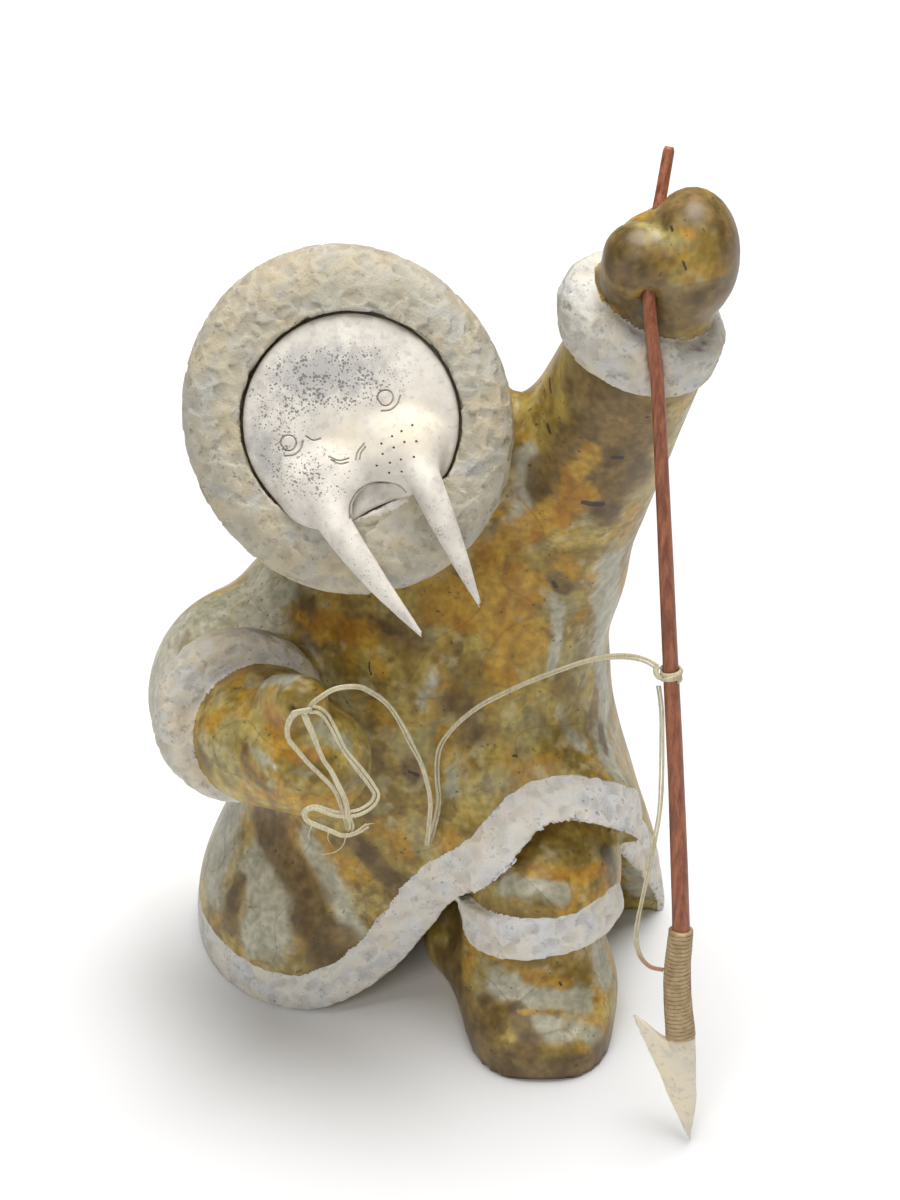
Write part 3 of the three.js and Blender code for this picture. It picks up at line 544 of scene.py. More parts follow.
# ------------------------------------------------------------------ materials
class Shader:
    """A node material with short calls for the nodes that the stone, antler, wood and sinew need."""

    def __init__(self, name):
        self.material = bpy.data.materials.new(name)
        self.material.use_nodes = True
        self.tree = self.material.node_tree
        self.tree.nodes.clear()
        self.surface = self.tree.nodes.new("ShaderNodeBsdfPrincipled")
        output = self.tree.nodes.new("ShaderNodeOutputMaterial")
        self.tree.links.new(self.surface.outputs[0], output.inputs[0])
        self.place = self.node("TexCoord", output="Object")

    def put(self, socket, value):
        if isinstance(value, bpy.types.NodeSocket):
            self.tree.links.new(value, socket)
        elif isinstance(value, tuple) and len(value) == 3 and len(socket.default_value) == 4:
            socket.default_value = (*value, 1)
        else:
            socket.default_value = value

    def node(self, kind, inputs=(), output=0, **settings):
        """One output of a new node, with its inputs by name or number."""
        node = self.tree.nodes.new("ShaderNode" + kind)
        for name, value in settings.items():
            setattr(node, name, value)
        for key, value in dict(inputs).items():
            self.put(node.inputs[key], value)
        return node.outputs[output]

    def math(self, operation, a, b=0.0, c=0.0):
        return self.node("Math", enumerate((a, b, c)), operation=operation)

    def attribute(self, name):
        return self.node("Attribute", output="Fac", attribute_name=name)

    def shifted(self, place, amount, size, seed):
        """The place, pushed about by noise of a given size, for veins and flowing patches."""
        offset = (seed * 1.37, seed * 0.71, seed * 2.13)
        moved = self.node("VectorMath", {0: place, 1: offset}, operation="ADD")
        noise = self.node("TexNoise", {"Vector": moved, "Scale": 1000 / size, "Detail": 0}, "Color")
        push = {0: noise, 1: (amount * 2 * MM,) * 3, 2: place}
        return self.node("VectorMath", push, operation="MULTIPLY_ADD")

    def stretched(self, place, scale):
        return self.node("Mapping", {"Vector": place, "Scale": scale})

    def noise(self, size, detail=4, roughness=0.55, place=None, seed=0.0):
        """Noise from 0 to 1 with features of a given size in millimetres."""
        inputs = {"Vector": place or self.place, "W": seed, "Scale": 1000 / size, "Detail": detail,
                  "Roughness": roughness}
        return self.node("TexNoise", inputs, "Fac", noise_dimensions="4D")

    def cells(self, size, feature="F1", place=None):
        inputs = {"Vector": place or self.place, "Scale": 1000 / size, "Randomness": 1.0}
        return self.node("TexVoronoi", inputs, "Distance", feature=feature)

    def ramp(self, value, low, high, start=0.0, end=1.0):
        inputs = {"Value": value, "From Min": low, "From Max": high, "To Min": start, "To Max": end}
        return self.node("MapRange", inputs, interpolation_type="SMOOTHSTEP")

    def mix(self, share, a, b):
        return self.node("Mix", {0: share, 6: a, 7: b}, 2, data_type="RGBA")

    def dabbed(self, under, over, size, low, high, most, seed, detail=3, roughness=0.5, place=None, least=0):
        """A colour over another in patches of a given size, where noise passes from low to high."""
        noise = self.noise(size, detail, roughness, place, seed)
        return self.mix(self.ramp(noise, low, high, least, most), under, over)

    def tinted(self, colour, factor):
        return self.node("VectorMath", {0: colour, "Scale": factor}, operation="SCALE")

    def bump(self, height, distance, strength=1.0, normal=None):
        inputs = {"Strength": strength, "Distance": distance * MM, "Height": height}
        if normal is not None:
            inputs["Normal"] = normal
        return self.node("Bump", inputs)

    def finish(self, colour, roughness, normal=None, **settings):
        self.put(self.surface.inputs["Base Color"], colour)
        self.put(self.surface.inputs["Roughness"], roughness)
        if normal is not None:
            self.put(self.surface.inputs["Normal"], normal)
        for name, value in settings.items():
            self.surface.inputs[name.replace("_", " ")].default_value = value
        return self.material


def soapstone():
    s = Shader("soapstone")
    pale, brown, rust, dark, trim, facet, white, hollow = (
        s.attribute(n) for n in ("pale", "brown", "rust", "dark", "trim", "facet", "white", "hollow"))
    flow = s.shifted(s.place, 2.5, 30, 1)
    swirl = s.stretched(flow, (1, 1, 0.7))
    broad = s.noise(24, 3, 0.5, flow, 1.0)
    medium = s.noise(7, 2, 0.5, swirl, 2.0)
    small = s.noise(2.4, 1, 0.5, flow, 3.0)
    grain = s.noise(0.7, 2, 0.6, s.place, 4.0)

    # Polished stone: ochre mottled with gold, beige, dusk and sage.
    mottle = s.math("MULTIPLY_ADD", broad, 0.4, s.math("MULTIPLY", medium, 0.6))
    ochre = s.mix(s.ramp(mottle, 0.4, 0.6), (0.25, 0.165, 0.032), (0.49, 0.365, 0.095))
    ochre = s.dabbed(ochre, (0.5, 0.27, 0.025), 12, 0.48, 0.62, 0.75, 6.0, place=swirl)
    ochre = s.dabbed(ochre, (0.52, 0.44, 0.23), 7, 0.54, 0.66, 0.6, 7.0, place=flow)
    ochre = s.dabbed(ochre, (0.16, 0.1, 0.03), 6, 0.53, 0.67, 0.65, 5.0, place=flow)
    ochre = s.dabbed(ochre, (0.38, 0.37, 0.2), 13, 0.54, 0.67, 0.4, 16.0, 2, place=flow)
    umber = s.dabbed((0.1, 0.06, 0.02), (0.22, 0.14, 0.05), 6, 0.36, 0.64, 1, 8.0, 2, place=swirl)
    celadon = s.dabbed((0.4, 0.39, 0.28), (0.58, 0.56, 0.44), 9, 0.36, 0.64, 1, 9.0, place=swirl)
    ember = s.mix(s.ramp(medium, 0.36, 0.62), (0.38, 0.17, 0.012), (0.56, 0.33, 0.045))

    # Placed patches, with an uneven edge.
    edge = s.math("MULTIPLY_ADD", s.noise(7, 2, 0.5, flow, 18.0), 1.4, s.math("MULTIPLY", small, 0.3))
    edge = s.math("SUBTRACT", edge, 0.85)
    colour = ochre
    for patch, low, high, most, tone in ((pale, 0.1, 0.85, 0.9, celadon), (brown, 0.1, 0.8, 0.9, umber),
                                         (rust, 0.2, 0.8, 0.85, ember)):
        colour = s.mix(s.ramp(s.math("ADD", patch, edge), low, high, 0, most), colour, tone)
    vein = s.math("ABSOLUTE", s.math("SUBTRACT", s.noise(34, 1, 0.5, flow, 10.0), 0.5))
    colour = s.mix(s.ramp(vein, 0.0, 0.008, 0.3, 0), colour, (0.16, 0.085, 0.03))
    colour = s.tinted(colour, s.ramp(small, 0.3, 0.7, 0.82, 1.16))
    speck = s.ramp(s.noise(2.1, 2, 0.5, s.place, 11.0), 0.67, 0.73)
    colour = s.mix(s.math("MULTIPLY", speck, 0.7), colour, (0.045, 0.045, 0.045))
    colour = s.mix(s.ramp(s.math("ADD", dark, edge), 0.4, 0.6, 0, 0.85), colour, (0.03, 0.028, 0.027))

    # Chiselled trims: chalky, with cool, warm and grey patches and small dark flecks, and painted shade in
    # the chisel hollows.
    chalk = s.dabbed((0.48, 0.46, 0.39), (0.58, 0.53, 0.42), 12, 0.42, 0.6, 1, 12.0, 5, 0.6)
    chalk = s.dabbed(chalk, (0.4, 0.43, 0.475), 13, 0.48, 0.6, 0.85, 13.0, 3, 0.6)
    chalk = s.dabbed(chalk, (0.56, 0.42, 0.22), 15, 0.48, 0.6, 0.75, 14.0, 4, 0.65)
    chalk = s.dabbed(chalk, (0.2, 0.2, 0.19), 3.2, 0.58, 0.68, 0.5, 17.0, 4, 0.65)
    strewn = s.shifted(s.place, 0.9, 1.6, 3)
    reach = s.ramp(s.noise(8, 3, 0.6, s.place, 19.0), 0.4, 0.62, 0.08, 0.4)
    fleck = s.math("LESS_THAN", s.cells(1.7, place=strewn), reach)
    strength = s.ramp(s.noise(4, 1, 0.5, s.place, 20.0), 0.35, 0.6, 0.2, 0.75)
    chalk = s.mix(s.math("MULTIPLY", fleck, strength), chalk, (0.12, 0.12, 0.13))
    chalk = s.mix(s.ramp(grain, 0.35, 0.65, 0, 0.4), chalk, (0.64, 0.62, 0.55))
    chalk = s.mix(s.ramp(facet, 0.55, 0.95, 0, 0.4), chalk, (0.5, 0.42, 0.28))
    chalk = s.mix(s.ramp(facet, 0.05, 0.4, 0.3, 0), chalk, (0.44, 0.44, 0.43))
    chalk = s.mix(s.math("MULTIPLY_ADD", white, -0.45, 0.45), chalk, (0.55, 0.49, 0.35))
    chalk = s.mix(s.math("MULTIPLY", white, 0.45), chalk, (0.62, 0.6, 0.58))
    chalk = s.tinted(chalk, s.math("MULTIPLY_ADD", white, 0.38, 0.88))
    # Painted shade: the chalk is darkened in the deep chisel hollows and lightened on the shallow ridges
    # between them.
    chalk = s.tinted(chalk, s.ramp(hollow, 0, 1.2, 1.1, 0.86))

    cut = s.ramp(trim, 0.35, 0.65)
    colour = s.mix(cut, colour, chalk)
    fleck = s.math("LESS_THAN", s.cells(2.6, place=strewn), s.ramp(broad, 0.44, 0.62, 0.0, 0.17))
    colour = s.mix(s.math("MULTIPLY", fleck, 0.5), colour, (0.08, 0.07, 0.06))
    pits = s.cells(3.0, "SMOOTH_F1")
    tooth = s.math("MULTIPLY_ADD", grain, 0.5, s.math("MULTIPLY", pits, 0.6))
    normal = s.bump(medium, 0.12, 0.35, s.bump(s.math("MULTIPLY", tooth, cut), 0.6, 0.8))
    polish = s.math("MULTIPLY_ADD", small, 0.3, 0.26)
    roughness = s.math("MULTIPLY_ADD", cut, s.math("SUBTRACT", 0.68, polish), polish)
    return s.finish(colour, roughness, normal, Specular_IOR_Level=0.42)
    return s.material


SOAPSTONE = soapstone()


# ------------------------------------------------------------------ the carved figure
def hem_edge():
    """Points all along the hem's lower edge, on the coat's outer surface."""
    angles = np.radians(np.arange(0, 360, 1.5))
    heights = hem_height(np.stack([HEM_AXIS_X + np.cos(angles), -np.sin(angles), angles * 0], -1))
    heights = np.where(np.degrees(angles) > 180, 0, heights)
    inner, outer = np.full(len(angles), 20.0), np.full(len(angles), 20.0)
    for radius in np.arange(20, 125, 1.0):
        p = np.stack([HEM_AXIS_X + radius * np.cos(angles), -radius * np.sin(angles), heights], -1)
        inner = np.where(uncut_coat(p) < 0, radius, inner)
    radius = inner + 0.5
    return np.stack([HEM_AXIS_X + radius * np.cos(angles), -radius * np.sin(angles), heights], -1)


def nearest(points, targets):
    out = np.empty(len(points))
    for i in range(0, len(points), 20000):
        chunk = points[i:i + 20000]
        square = (chunk ** 2).sum(-1)[:, None] + (targets ** 2).sum(-1) - 2 * chunk @ targets.T
        out[i:i + 20000] = np.sqrt(np.maximum(square.min(1), 0))
    return out


HEM_EDGE = hem_edge()


def trim_of(points):
    """1 on the chiselled fur trims, 0 on the polished stone."""
    parts = np.stack(figure_parts(points))
    jag = 0.55 * value_noise(points, 2.2, 31) + 0.35 * value_noise(points, 5.5, 32)
    is_trim = np.array([name in TRIMS for name in REGIONS])
    trim = ramp(parts[~is_trim].min(0) - parts[is_trim].min(0) + 0.35 * jag, -0.25, 0.25)
    q = (points - FACE_CENTRE) @ FACE.T
    trim = np.where((np.hypot(q[:, 0], q[:, 1]) < 34) & (q[:, 2] > -8), 1.0, trim)
    on_skin = (np.abs(uncut_coat(points)) < 1.3) & (parts.argmin(0) == 0)
    hem = ramp(HEM_BAND_WIDTH + jag - nearest(points, HEM_EDGE), -0.35, 0.35) * on_skin
    return np.maximum(trim, hem)


# Colour patches of the stone: each is a radius and the points it runs through.
PALE_PATCHES = [
    (8, [(-62, -39, 46), (-59, -48, 38), (-61, -53, 26)]),
    (7, [(-71, -14, 50), (-75, -24, 40), (-77, -28, 31)]),
    (3.6, [(-46, -44, 62), (-40, -51, 49), (-31, -56, 33)]),
    (7, [(-61, -7, 137), (-59, -17, 135), (-60, -28, 132)]),
    (4.5, [(49, -33, 161), (49, -22, 131), (50, -18, 97), (51, -44, 88)]),
    (10, [(-94, -24, 108), (-84, 4, 112), (-74, 6, 124)]), (8, [(-80, -6, 48), (-84, -8, 30)]),
    (8, [(-74, -17, 127), (-88, -20, 118), (-92, -53, 115)]), (5, [(-59, -8, 138), (-66, -12, 132)]),
    (1, [(-3, -45, 130), (-8, -49, 119)]), (1.4, [(31, -38, 150), (33, -37, 134), (31, -38, 123)]),
    (1.6, [(33, -39, 109), (42, -42, 95)]), (1.6, [(2, -55, 97), (0, -57, 90)]),
    (2.8, [(19, -72, 65), (30, -75, 66), (34, -76, 65)]),
    (4.4, [(16, -76, 27), (29, -80, 25), (40, -79, 24)]), (4.5, [(48, -63, 36), (50, -67, 24)]),
    (3, [(28, -85, 20), (33, -88, 17), (44, -85, 14)]),
    (3, [(24, -40, 205), (22, -41, 188), (20, -37, 171)]), (3.2, [(70, -43, 223)]),
    (2.2, [(54, -62, 263), (52, -61, 258)]), (2.2, [(-56, -69, 141), (-50, -72, 144), (-45, -78, 148)]),
    (2.4, [(-37, -86, 137), (-31, -86, 131)]),
    (0.8, [(-63, -81, 126), (-54, -89, 125), (-42, -94, 125)]), (3, [(-47, -21, 142), (-53, -20, 137)]),
    (0.6, [(46, -63, 280), (53, -66, 281)]), (0.6, [(67, -66, 278), (76, -64, 275)]),
    (4, [(63, -20, 34), (64, -11, 12)])]
BROWN_PATCHES = [
    (5.5, [(-61, -29, 60), (-55, -41, 53), (-48, -50, 44), (-42, -55, 34), (-39, -58, 26)]),
    (5, [(-48, -55, 34), (-39, -57, 31), (-34, -58, 27)]), (2.4, [(-68, -38, 39), (-72, -43, 24)]),
    (3.4, [(-32, -52, 66), (-25, -55, 60), (-14, -57, 51)]),
    (6, [(-2, -51, 15), (4, -68, 14), (9, -81, 8), (13, -87, 5)]),
    (6.5, [(12, -88, 3), (32, -92, 5), (52, -80, 2)]), (4, [(8, -80, 20), (14, -84, 14)]),
    (3, [(21, -83, 21), (25, -89, 15)]), (11, [(43, -56, 233), (51, -56, 223), (49, -51, 205)]),
    (8, [(47, -59, 284), (52, -64, 280)]), (9, [(79, -52, 288), (80, -52, 272)]),
    (7, [(40, -50, 214), (28, -44, 196)]), (5, [(-46, -30, 139), (-44, -33, 130)]),
    (5, [(1, -46, 32), (2, -56, 20), (6, -70, 10)]), (8, [(66, -52, 293)]),
    (4, [(-28, -36, 140), (-10, -40, 138)]), (4, [(4, -46, 118), (8, -47, 108)]),
    (3.4, [(36, -40, 118), (38, -42, 104)]), (2.5, [(49, -59, 68), (51, -62, 58)]),
    (3.5, [(45, -48, 193), (48, -44, 183)]), (2, [(48, -26, 95), (49, -34, 91)]),
    (0.8, [(-65, -76, 130), (-62, -82, 120), (-51, -92, 115)]),
    (8, [(43, -50, 266), (48, -59, 262), (60, -63, 262), (72, -62, 268)]), (5, [(56, -62, 276)]),
    (2, [(-12, -54, 96), (-11, -55, 93)]), (2.2, [(32, -39, 158), (34, -38, 153)])]
RUST_PATCHES = [
    (6, [(-2, -38, 148), (15, -40, 144), (21, -39, 156)]), (4, [(-38, -32, 138), (-24, -38, 136)]),
    (4, [(11, -35, 162), (24, -40, 177), (40, -48, 196)]), (2.6, [(14, -43, 131), (19, -44, 123)]),
    (2, [(-22, -43, 130), (-20, -44, 127)]), (3.4, [(-57, -79, 139), (-54, -82, 135)]),
    (1.6, [(-53, -85, 132), (-45, -91, 130), (-38, -90, 132)]),
    (1.6, [(-57, -86, 113), (-45, -95, 116), (-36, -94, 118)]),
    (1.4, [(-68, -74, 132), (-63, -72, 141), (-56, -73, 145)]),
    (1.8, [(15, -73, 75), (26, -72, 70), (42, -71, 66), (48, -64, 66)]),
    (0.5, [(22, -83, 21), (35, -84, 20), (48, -81, 14)]), (0.8, [(66, -62, 289), (69, -63, 287)]),
    (0.8, [(46, -76, 21), (50, -73, 17)]), (1.3, [(42, -51, 263), (46, -57, 261)]),
    (1.6, [(-47, -28, 135), (-40, -34, 132)]), (1.6, [(38, -76, 27), (24, -76, 31)]),
    (2.4, [(41, -52, 213), (36, -48, 200)])]
DARK_PATCHES = [
    (0.7, [(61.6, -58.4, 290.4), (62.1, -59.4, 289.7)]),
    (0.7, [(65.6, -62.7, 287.1), (65.9, -63.3, 286.1)]),
    (0.5, [(65.1, -64.9, 282.6), (65.8, -65.6, 280.6)]),
    (0.6, [(-55.7, -80.2, 139.5), (-55.5, -80.4, 138.9)]), (1.5, [(40, -47, 192), (45, -47, 191)]),
    (0.8, [(31.4, -38.7, 156.8), (32.4, -38.6, 154.5)]),
    (0.9, [(-12.5, -54.5, 95.4), (-10, -54.9, 94.5)]), (0.8, [(53, -62.5, 264.8), (54.1, -62.8, 264)]),
    (0.9, [(47.4, -52.7, 211.3), (49.8, -52.6, 211)]), (0.9, [(28.5, -43, 216), (29.4, -44.3, 214.3)]),
    (0.7, [(-24.7, -42, 129.1), (-24.4, -43.4, 125.4)]),
    (0.8, [(-37.9, -85.6, 145.7), (-37.9, -86.2, 145.1)]),
    (0.6, [(17.8, -79.5, 23), (18.4, -80.1, 22.6)]), (0.7, [(34.9, -76.5, 28.7), (35.5, -76.9, 27.8)]),
    (0.7, [(56.4, -57.1, 228.2), (57.3, -56.8, 227.7)]), (0.6, [(19.3, -51, 99.8), (20.6, -51.1, 99.1)]),
    (0.5, [(6.4, -54.1, 220.2), (7, -55.2, 218.5)]), (0.7, [(29.1, -36.8, 228.4), (29.6, -40.7, 226)])]


def patch_share(points, patches, spread, grow=0.4):
    """1 in the middle of a patch, 0.5 a little outside its radius, 0 far away."""
    moved = points + spread * np.stack([value_noise(points, 16, 46 + i) for i in range(3)], -1)
    share = np.zeros(len(points))
    for radius, corners in patches:
        d = path_distance(moved, np.array(corners, float))
        share = np.maximum(share, 1 / (1 + (d / (1.1 * radius + grow)) ** 4))
    return share


def unseen(points, normals, size, seed):
    """Large patches on the sides that the placed ones don't reach."""
    away = ramp(normals[:, 1] * 0.8 + normals[:, 2] * -0.3, -0.1, 0.5)
    return 0.85 * away * ramp(value_noise(points, size, seed), 0.1, 0.6)


def chisel_cuts(points, size=4.3):
    """Flat chips of a small chisel: the depth cut at each point, and each chip's own tone."""
    grid = np.floor(points / size).astype(np.int64)
    best = np.full(len(points), 1e9)
    depth, tone = np.zeros(len(points)), np.zeros(len(points))
    for neighbour in NEIGHBOURS:
        cell = grid + neighbour
        away = points - (cell + hashed(cell, 51)) * size
        square = (away ** 2).sum(-1)
        own = hashed(cell, 54)
        tilted = (away * (hashed(cell, 57) - 0.5)).sum(-1)
        here = np.clip(0.5 + 0.5 * tilted + 0.5 * (own[:, 1] - 0.5) - 0.03 * square, 0, 1.3)
        closer = square < best
        depth = np.where(closer, here, depth)
        tone = np.where(closer, own[:, 0], tone)
        best = np.minimum(best, square)
    return depth, tone


FIGURE_BOX = (-106, -104, -5), (94, 66, 301)
FIGURE_CELL = 3.0
# Where the mesh gets finer: furthest back it reaches, and how far its faces may turn backwards.
FINER = (100, 2), (2, 0.25)


def build_figure():
    vertices, quads = surface_nets(figure_field, *FIGURE_BOX, FIGURE_CELL)
    vertices = settle(figure_field, vertices, 1.4, 4)
    triangles = triangles_of(vertices, quads)
    for furthest_back, most_turned in FINER:
        turned = vertex_normals(vertices, triangles)[:, 1]
        fine = (trim_of(vertices) > 0.02) & (vertices[:, 1] < furthest_back) & (turned < most_turned)
        fine |= patch_share(vertices, DARK_PATCHES, 0) > 0.04
        before = len(vertices)
        vertices, triangles = refine(vertices, triangles, fine[triangles].any(1))
        vertices[before:] = settle(figure_field, vertices[before:], 0.7, 2)
    normals = vertex_normals(vertices, triangles)
    trim = trim_of(vertices)
    hollow, facet = chisel_cuts(vertices + value_noise(vertices, 6, 41)[:, None])
    relief = trim * (0.1 + 0.62 * hollow + 0.1 * value_noise(vertices, 1.6, 43))
    relief += (1 - trim) * (0.12 + 0.12 * value_noise(vertices, 14, 44))
    on_ground = ramp(vertices[:, 2], 0.05, 1.5)
    vertices = vertices - normals * (relief * on_ground)[:, None]
    pale = np.maximum(patch_share(vertices, PALE_PATCHES, 2.2), unseen(vertices, normals, 46, 47))
    brown = np.maximum(patch_share(vertices, BROWN_PATCHES, 2.2), unseen(vertices, normals, 40, 48))
    rust = np.maximum(patch_share(vertices, RUST_PATCHES, 1.5), unseen(vertices, normals, 22, 49) * 0.8)
    dark = patch_share(vertices, DARK_PATCHES, 0.5, -0.25)
    region = np.stack(figure_parts(vertices)).argmin(0)
    white = np.choose(region, [TRIMS.get(name, 1.0) for name in REGIONS])
    figure = make_object("stone_carving", vertices, triangles, SOAPSTONE, trim=trim, pale=pale,
                         brown=brown, rust=rust, dark=dark, hollow=hollow, facet=facet, white=white)
    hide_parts("stone_figure")
    print("stone_carving", len(triangles), "triangles")


build_figure()


# ------------------------------------------------------------------ swept forms
def frames_along(points, facing):
    """Tangent, side and outward direction at each point, the outward one kept towards facing."""
    tangent = np.gradient(points, axis=0)
    tangent /= np.linalg.norm(tangent, axis=1, keepdims=True)
    out = facing - tangent * (tangent @ np.asarray(facing, float))[:, None]
    size = np.linalg.norm(out, axis=1)
    for i in range(1, len(points)):
        if size[i] < 0.35:
            kept = out[i - 1] / max(np.linalg.norm(out[i - 1]), 1e-9)
            out[i] = kept - tangent[i] * (kept @ tangent[i])
    out /= np.linalg.norm(out, axis=1, keepdims=True)
    return tangent, np.cross(tangent, out), out


def sweep(points, side, out, widths, depths, sides, power=2.0):
    """A closed tube along points, with elliptical or squarer sections and rounded-off ends."""
    angles = np.linspace(0, 2 * math.pi, sides, endpoint=False)
    wide = np.sign(np.cos(angles)) * np.abs(np.cos(angles)) ** (2 / power)
    deep = np.sign(np.sin(angles)) * np.abs(np.sin(angles)) ** (2 / power)
    rings = (points[:, None] + side[:, None] * (widths[:, None] * wide)[..., None]
             + out[:, None] * (depths[:, None] * deep)[..., None])
    count = len(points)
    vertices = np.concatenate([rings.reshape(-1, 3), points[:1], points[-1:]])
    i, j = np.meshgrid(np.arange(count - 1), np.arange(sides), indexing="ij")
    i, j = i.ravel(), j.ravel()
    a, b = i * sides + j, i * sides + (j + 1) % sides
    faces = np.concatenate([np.stack([a, a + sides, b + sides], 1), np.stack([a, b + sides, b], 1)])
    ring = np.arange(sides)
    low = np.stack([np.full(sides, count * sides), ring, (ring + 1) % sides], 1)
    last = (count - 1) * sides
    high = np.stack([np.full(sides, count * sides + 1), last + (ring + 1) % sides, last + ring], 1)
    return vertices, np.concatenate([faces, low, high])


def tube(points, facing, wide, deep, sides, power=2.0):
    """A closed tube along points, of one size or of a size for each, its outer side towards facing."""
    _, side, out = frames_along(points, np.array(facing))
    ones = np.ones(len(points))
    return sweep(points, side, out, wide * ones, deep * ones, sides, power)


def joined(parts):
    """Several vertex and triangle lists as one."""
    vertices, faces, start = [], [], 0
    for v, f in parts:
        vertices.append(v)
        faces.append(f + start)
        start += len(v)
    return np.concatenate(vertices), np.concatenate(faces)


def noise_along(count, spacing, size, seed):
    line = np.stack([np.arange(count) * spacing, np.full(count, seed * 7.3), np.zeros(count)], -1)
    return value_noise(line, size, seed)


# ------------------------------------------------------------------ sinew line
def sinew():
    s = Shader("sinew")
    fibre = s.noise(0.5, 4, 0.65, s.stretched(s.place, (1, 1, 0.16)), 1.0)
    colour = s.mix(s.ramp(fibre, 0.32, 0.68), (0.4884, 0.4356, 0.2904), (0.74, 0.66, 0.44))
    colour = s.dabbed(colour, (0.78, 0.7, 0.5), 6, 0.45, 0.65, 0.5, 2.0)
    colour = s.mix(s.ramp(s.attribute("along"), 0.84, 0.98, 0, 0.75), colour, (0.42, 0.14, 0.07))
    return s.finish(colour, 0.5, s.bump(fibre, 0.25, 0.8), Specular_IOR_Level=0.4)


SINEW = sinew()


def sinew_strip(name, corners, width, thickness, seed, strands=2, taper=0.0, redness=0.5, aside=0.0):
    """Flat strands along one route, which part and meet again, slowly turning on themselves."""
    points = curve_points(corners, 0.5)
    count = len(points)

    def wander(size, number):
        return noise_along(count, 0.5, size, seed + number)

    _, side, out = frames_along(points, np.array([0, -1, 0.4]))
    turn = 0.5 * wander(22, 0)
    side, out = (side * np.cos(turn)[:, None] + out * np.sin(turn)[:, None],
                 out * np.cos(turn)[:, None] - side * np.sin(turn)[:, None])
    share = np.linspace(0, 1, count)
    points = points + side * (aside * (0.7 + 1.1 * wander(15, 5)))[:, None]
    parts = []
    for k in range(strands):
        place = (k - (strands - 1) / 2) / strands
        gap = width * place * (1 + 0.45 * wander(14, 7 + k))
        line = points + side * gap[:, None] + out * (0.12 * wander(9, 11 + k))[:, None]
        widths = width / (2 * strands) * (1.05 - 0.15 * k) * (1 + 0.25 * wander(9, 1 + k))
        widths *= 1 - taper * ramp(share, 0.75, 1)
        depths = thickness / 2 * (1 + 0.2 * wander(5, 2 + k))
        parts.append(sweep(line, side, out, widths, depths, 10, 2.6))
    along = np.tile(np.concatenate([np.repeat(share, 10), [0, 1]]), strands) * redness
    piece = make_object(name, *joined(parts), SINEW, along=along)
    return piece, points


def shaft_at(share):
    i = int(round(share * (len(SHAFT_LINE) - 1)))
    i = min(max(i, 1), len(SHAFT_LINE) - 2)
    tangent = unit(SHAFT_LINE[i + 1] - SHAFT_LINE[i - 1])
    return SHAFT_LINE[i], tangent, SHAFT_RADII[0] + (SHAFT_RADII[1] - SHAFT_RADII[0]) * share


def wound(centre, axis, radius, turns, pitch, width, thickness, seed, start_angle=0.0):
    """A strip wound round an axis."""
    steps = int(turns * 40)
    t = np.linspace(0, turns, steps + 1)
    u, v, w = axes_about(axis)
    angle = start_angle + t * 2 * math.pi
    radial = np.cos(angle)[:, None] * u + np.sin(angle)[:, None] * v
    rise = (t - turns / 2) * pitch
    reach = radius * (1 + 0.02 * noise_along(len(t), 1, 9, seed))
    points = centre + radial * reach[:, None] + w * rise[:, None]
    tangent = np.gradient(points, axis=0)
    tangent /= np.linalg.norm(tangent, axis=1, keepdims=True)
    side = np.cross(tangent, radial)
    widths = np.full(len(t), width / 2) * (1 + 0.12 * noise_along(len(t), 1, 11, seed + 3))
    return sweep(points, side, radial, widths, np.full(len(t), thickness / 2), 10, 2.4)


def build_knot():
    share = SHAFT_SHARE[int(np.argmin(np.abs(SHAFT_LINE[:, 2] - KNOT["z"])))]
    centre, axis, radius = shaft_at(share)
    leaning = unit(axis + np.array([0.32, -0.1, 0]))
    loop = curve_points([(61.6, -89.6, 157.6), (60.6, -89.4, 158.8), (60.2, -88.6, 160),
                         (60.8, -87.6, 160.4)], 0.3)
    parts = [wound(centre, axis, radius + 0.5, 2.6, 1.25, 1.5, 0.8, 61, 3.4),
             wound(centre, leaning, radius + 0.95, 1.15, 0.6, 1.3, 0.8, 62, 2.6),
             tube(loop, (-0.6, -0.8, 0), 0.9, 0.6, 10, 2.4)]
    knot = make_object("knot_turns", *joined(parts), SINEW, along=0)
    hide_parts("line_knot")
    return knot


HANK_LEFT = [(-45.5, -90.5, 146), (-47, -91, 144.5), (-48, -92, 141.5), (-47.5, -93, 138),
             (-45, -94, 135), (-41.5, -95.5, 131), (-38, -96.5, 127.5), (-34, -98, 123),
             (-32, -100, 117.5), (-31, -101, 113), (-30.6, -101.4, 110.6)]
HANK_MIDDLE = [(-43, -91.5, 146), (-42, -92.5, 143.5), (-40.5, -93.5, 140), (-37.5, -96, 133),
               (-35, -97, 129), (-33, -98.5, 125), (-31, -100, 120.5), (-30.2, -101.2, 116),
               (-29, -102, 112), (-29.4, -102.2, 110.4)]
HANK_RIGHT = [(-41.5, -90.3, 146.9), (-39, -90.4, 147), (-36.8, -90.9, 145.6), (-34.2, -92, 141.5),
              (-31, -94, 135), (-27, -96, 129.5), (-23, -97.5, 123.5), (-21.8, -98.5, 121.4),
              (-23, -99.4, 118.6), (-27.5, -100.6, 116), (-34, -100.5, 115.6), (-40.5, -99.5, 117.3),
              (-43.2, -100, 116), (-42.6, -100.6, 113.6), (-39.5, -101.5, 112.2), (-35.5, -102.4, 110.9),
              (-32, -103.2, 109.8), (-28.5, -103, 110.4), (-24.5, -101.8, 112.5)]
HANK_WRAP = [(-46.6, -90.4, 144.8), (-46.2, -91.6, 146.4), (-44.6, -92, 147.2), (-42.4, -91.8, 147.5),
             (-40.6, -90.8, 147.3)]
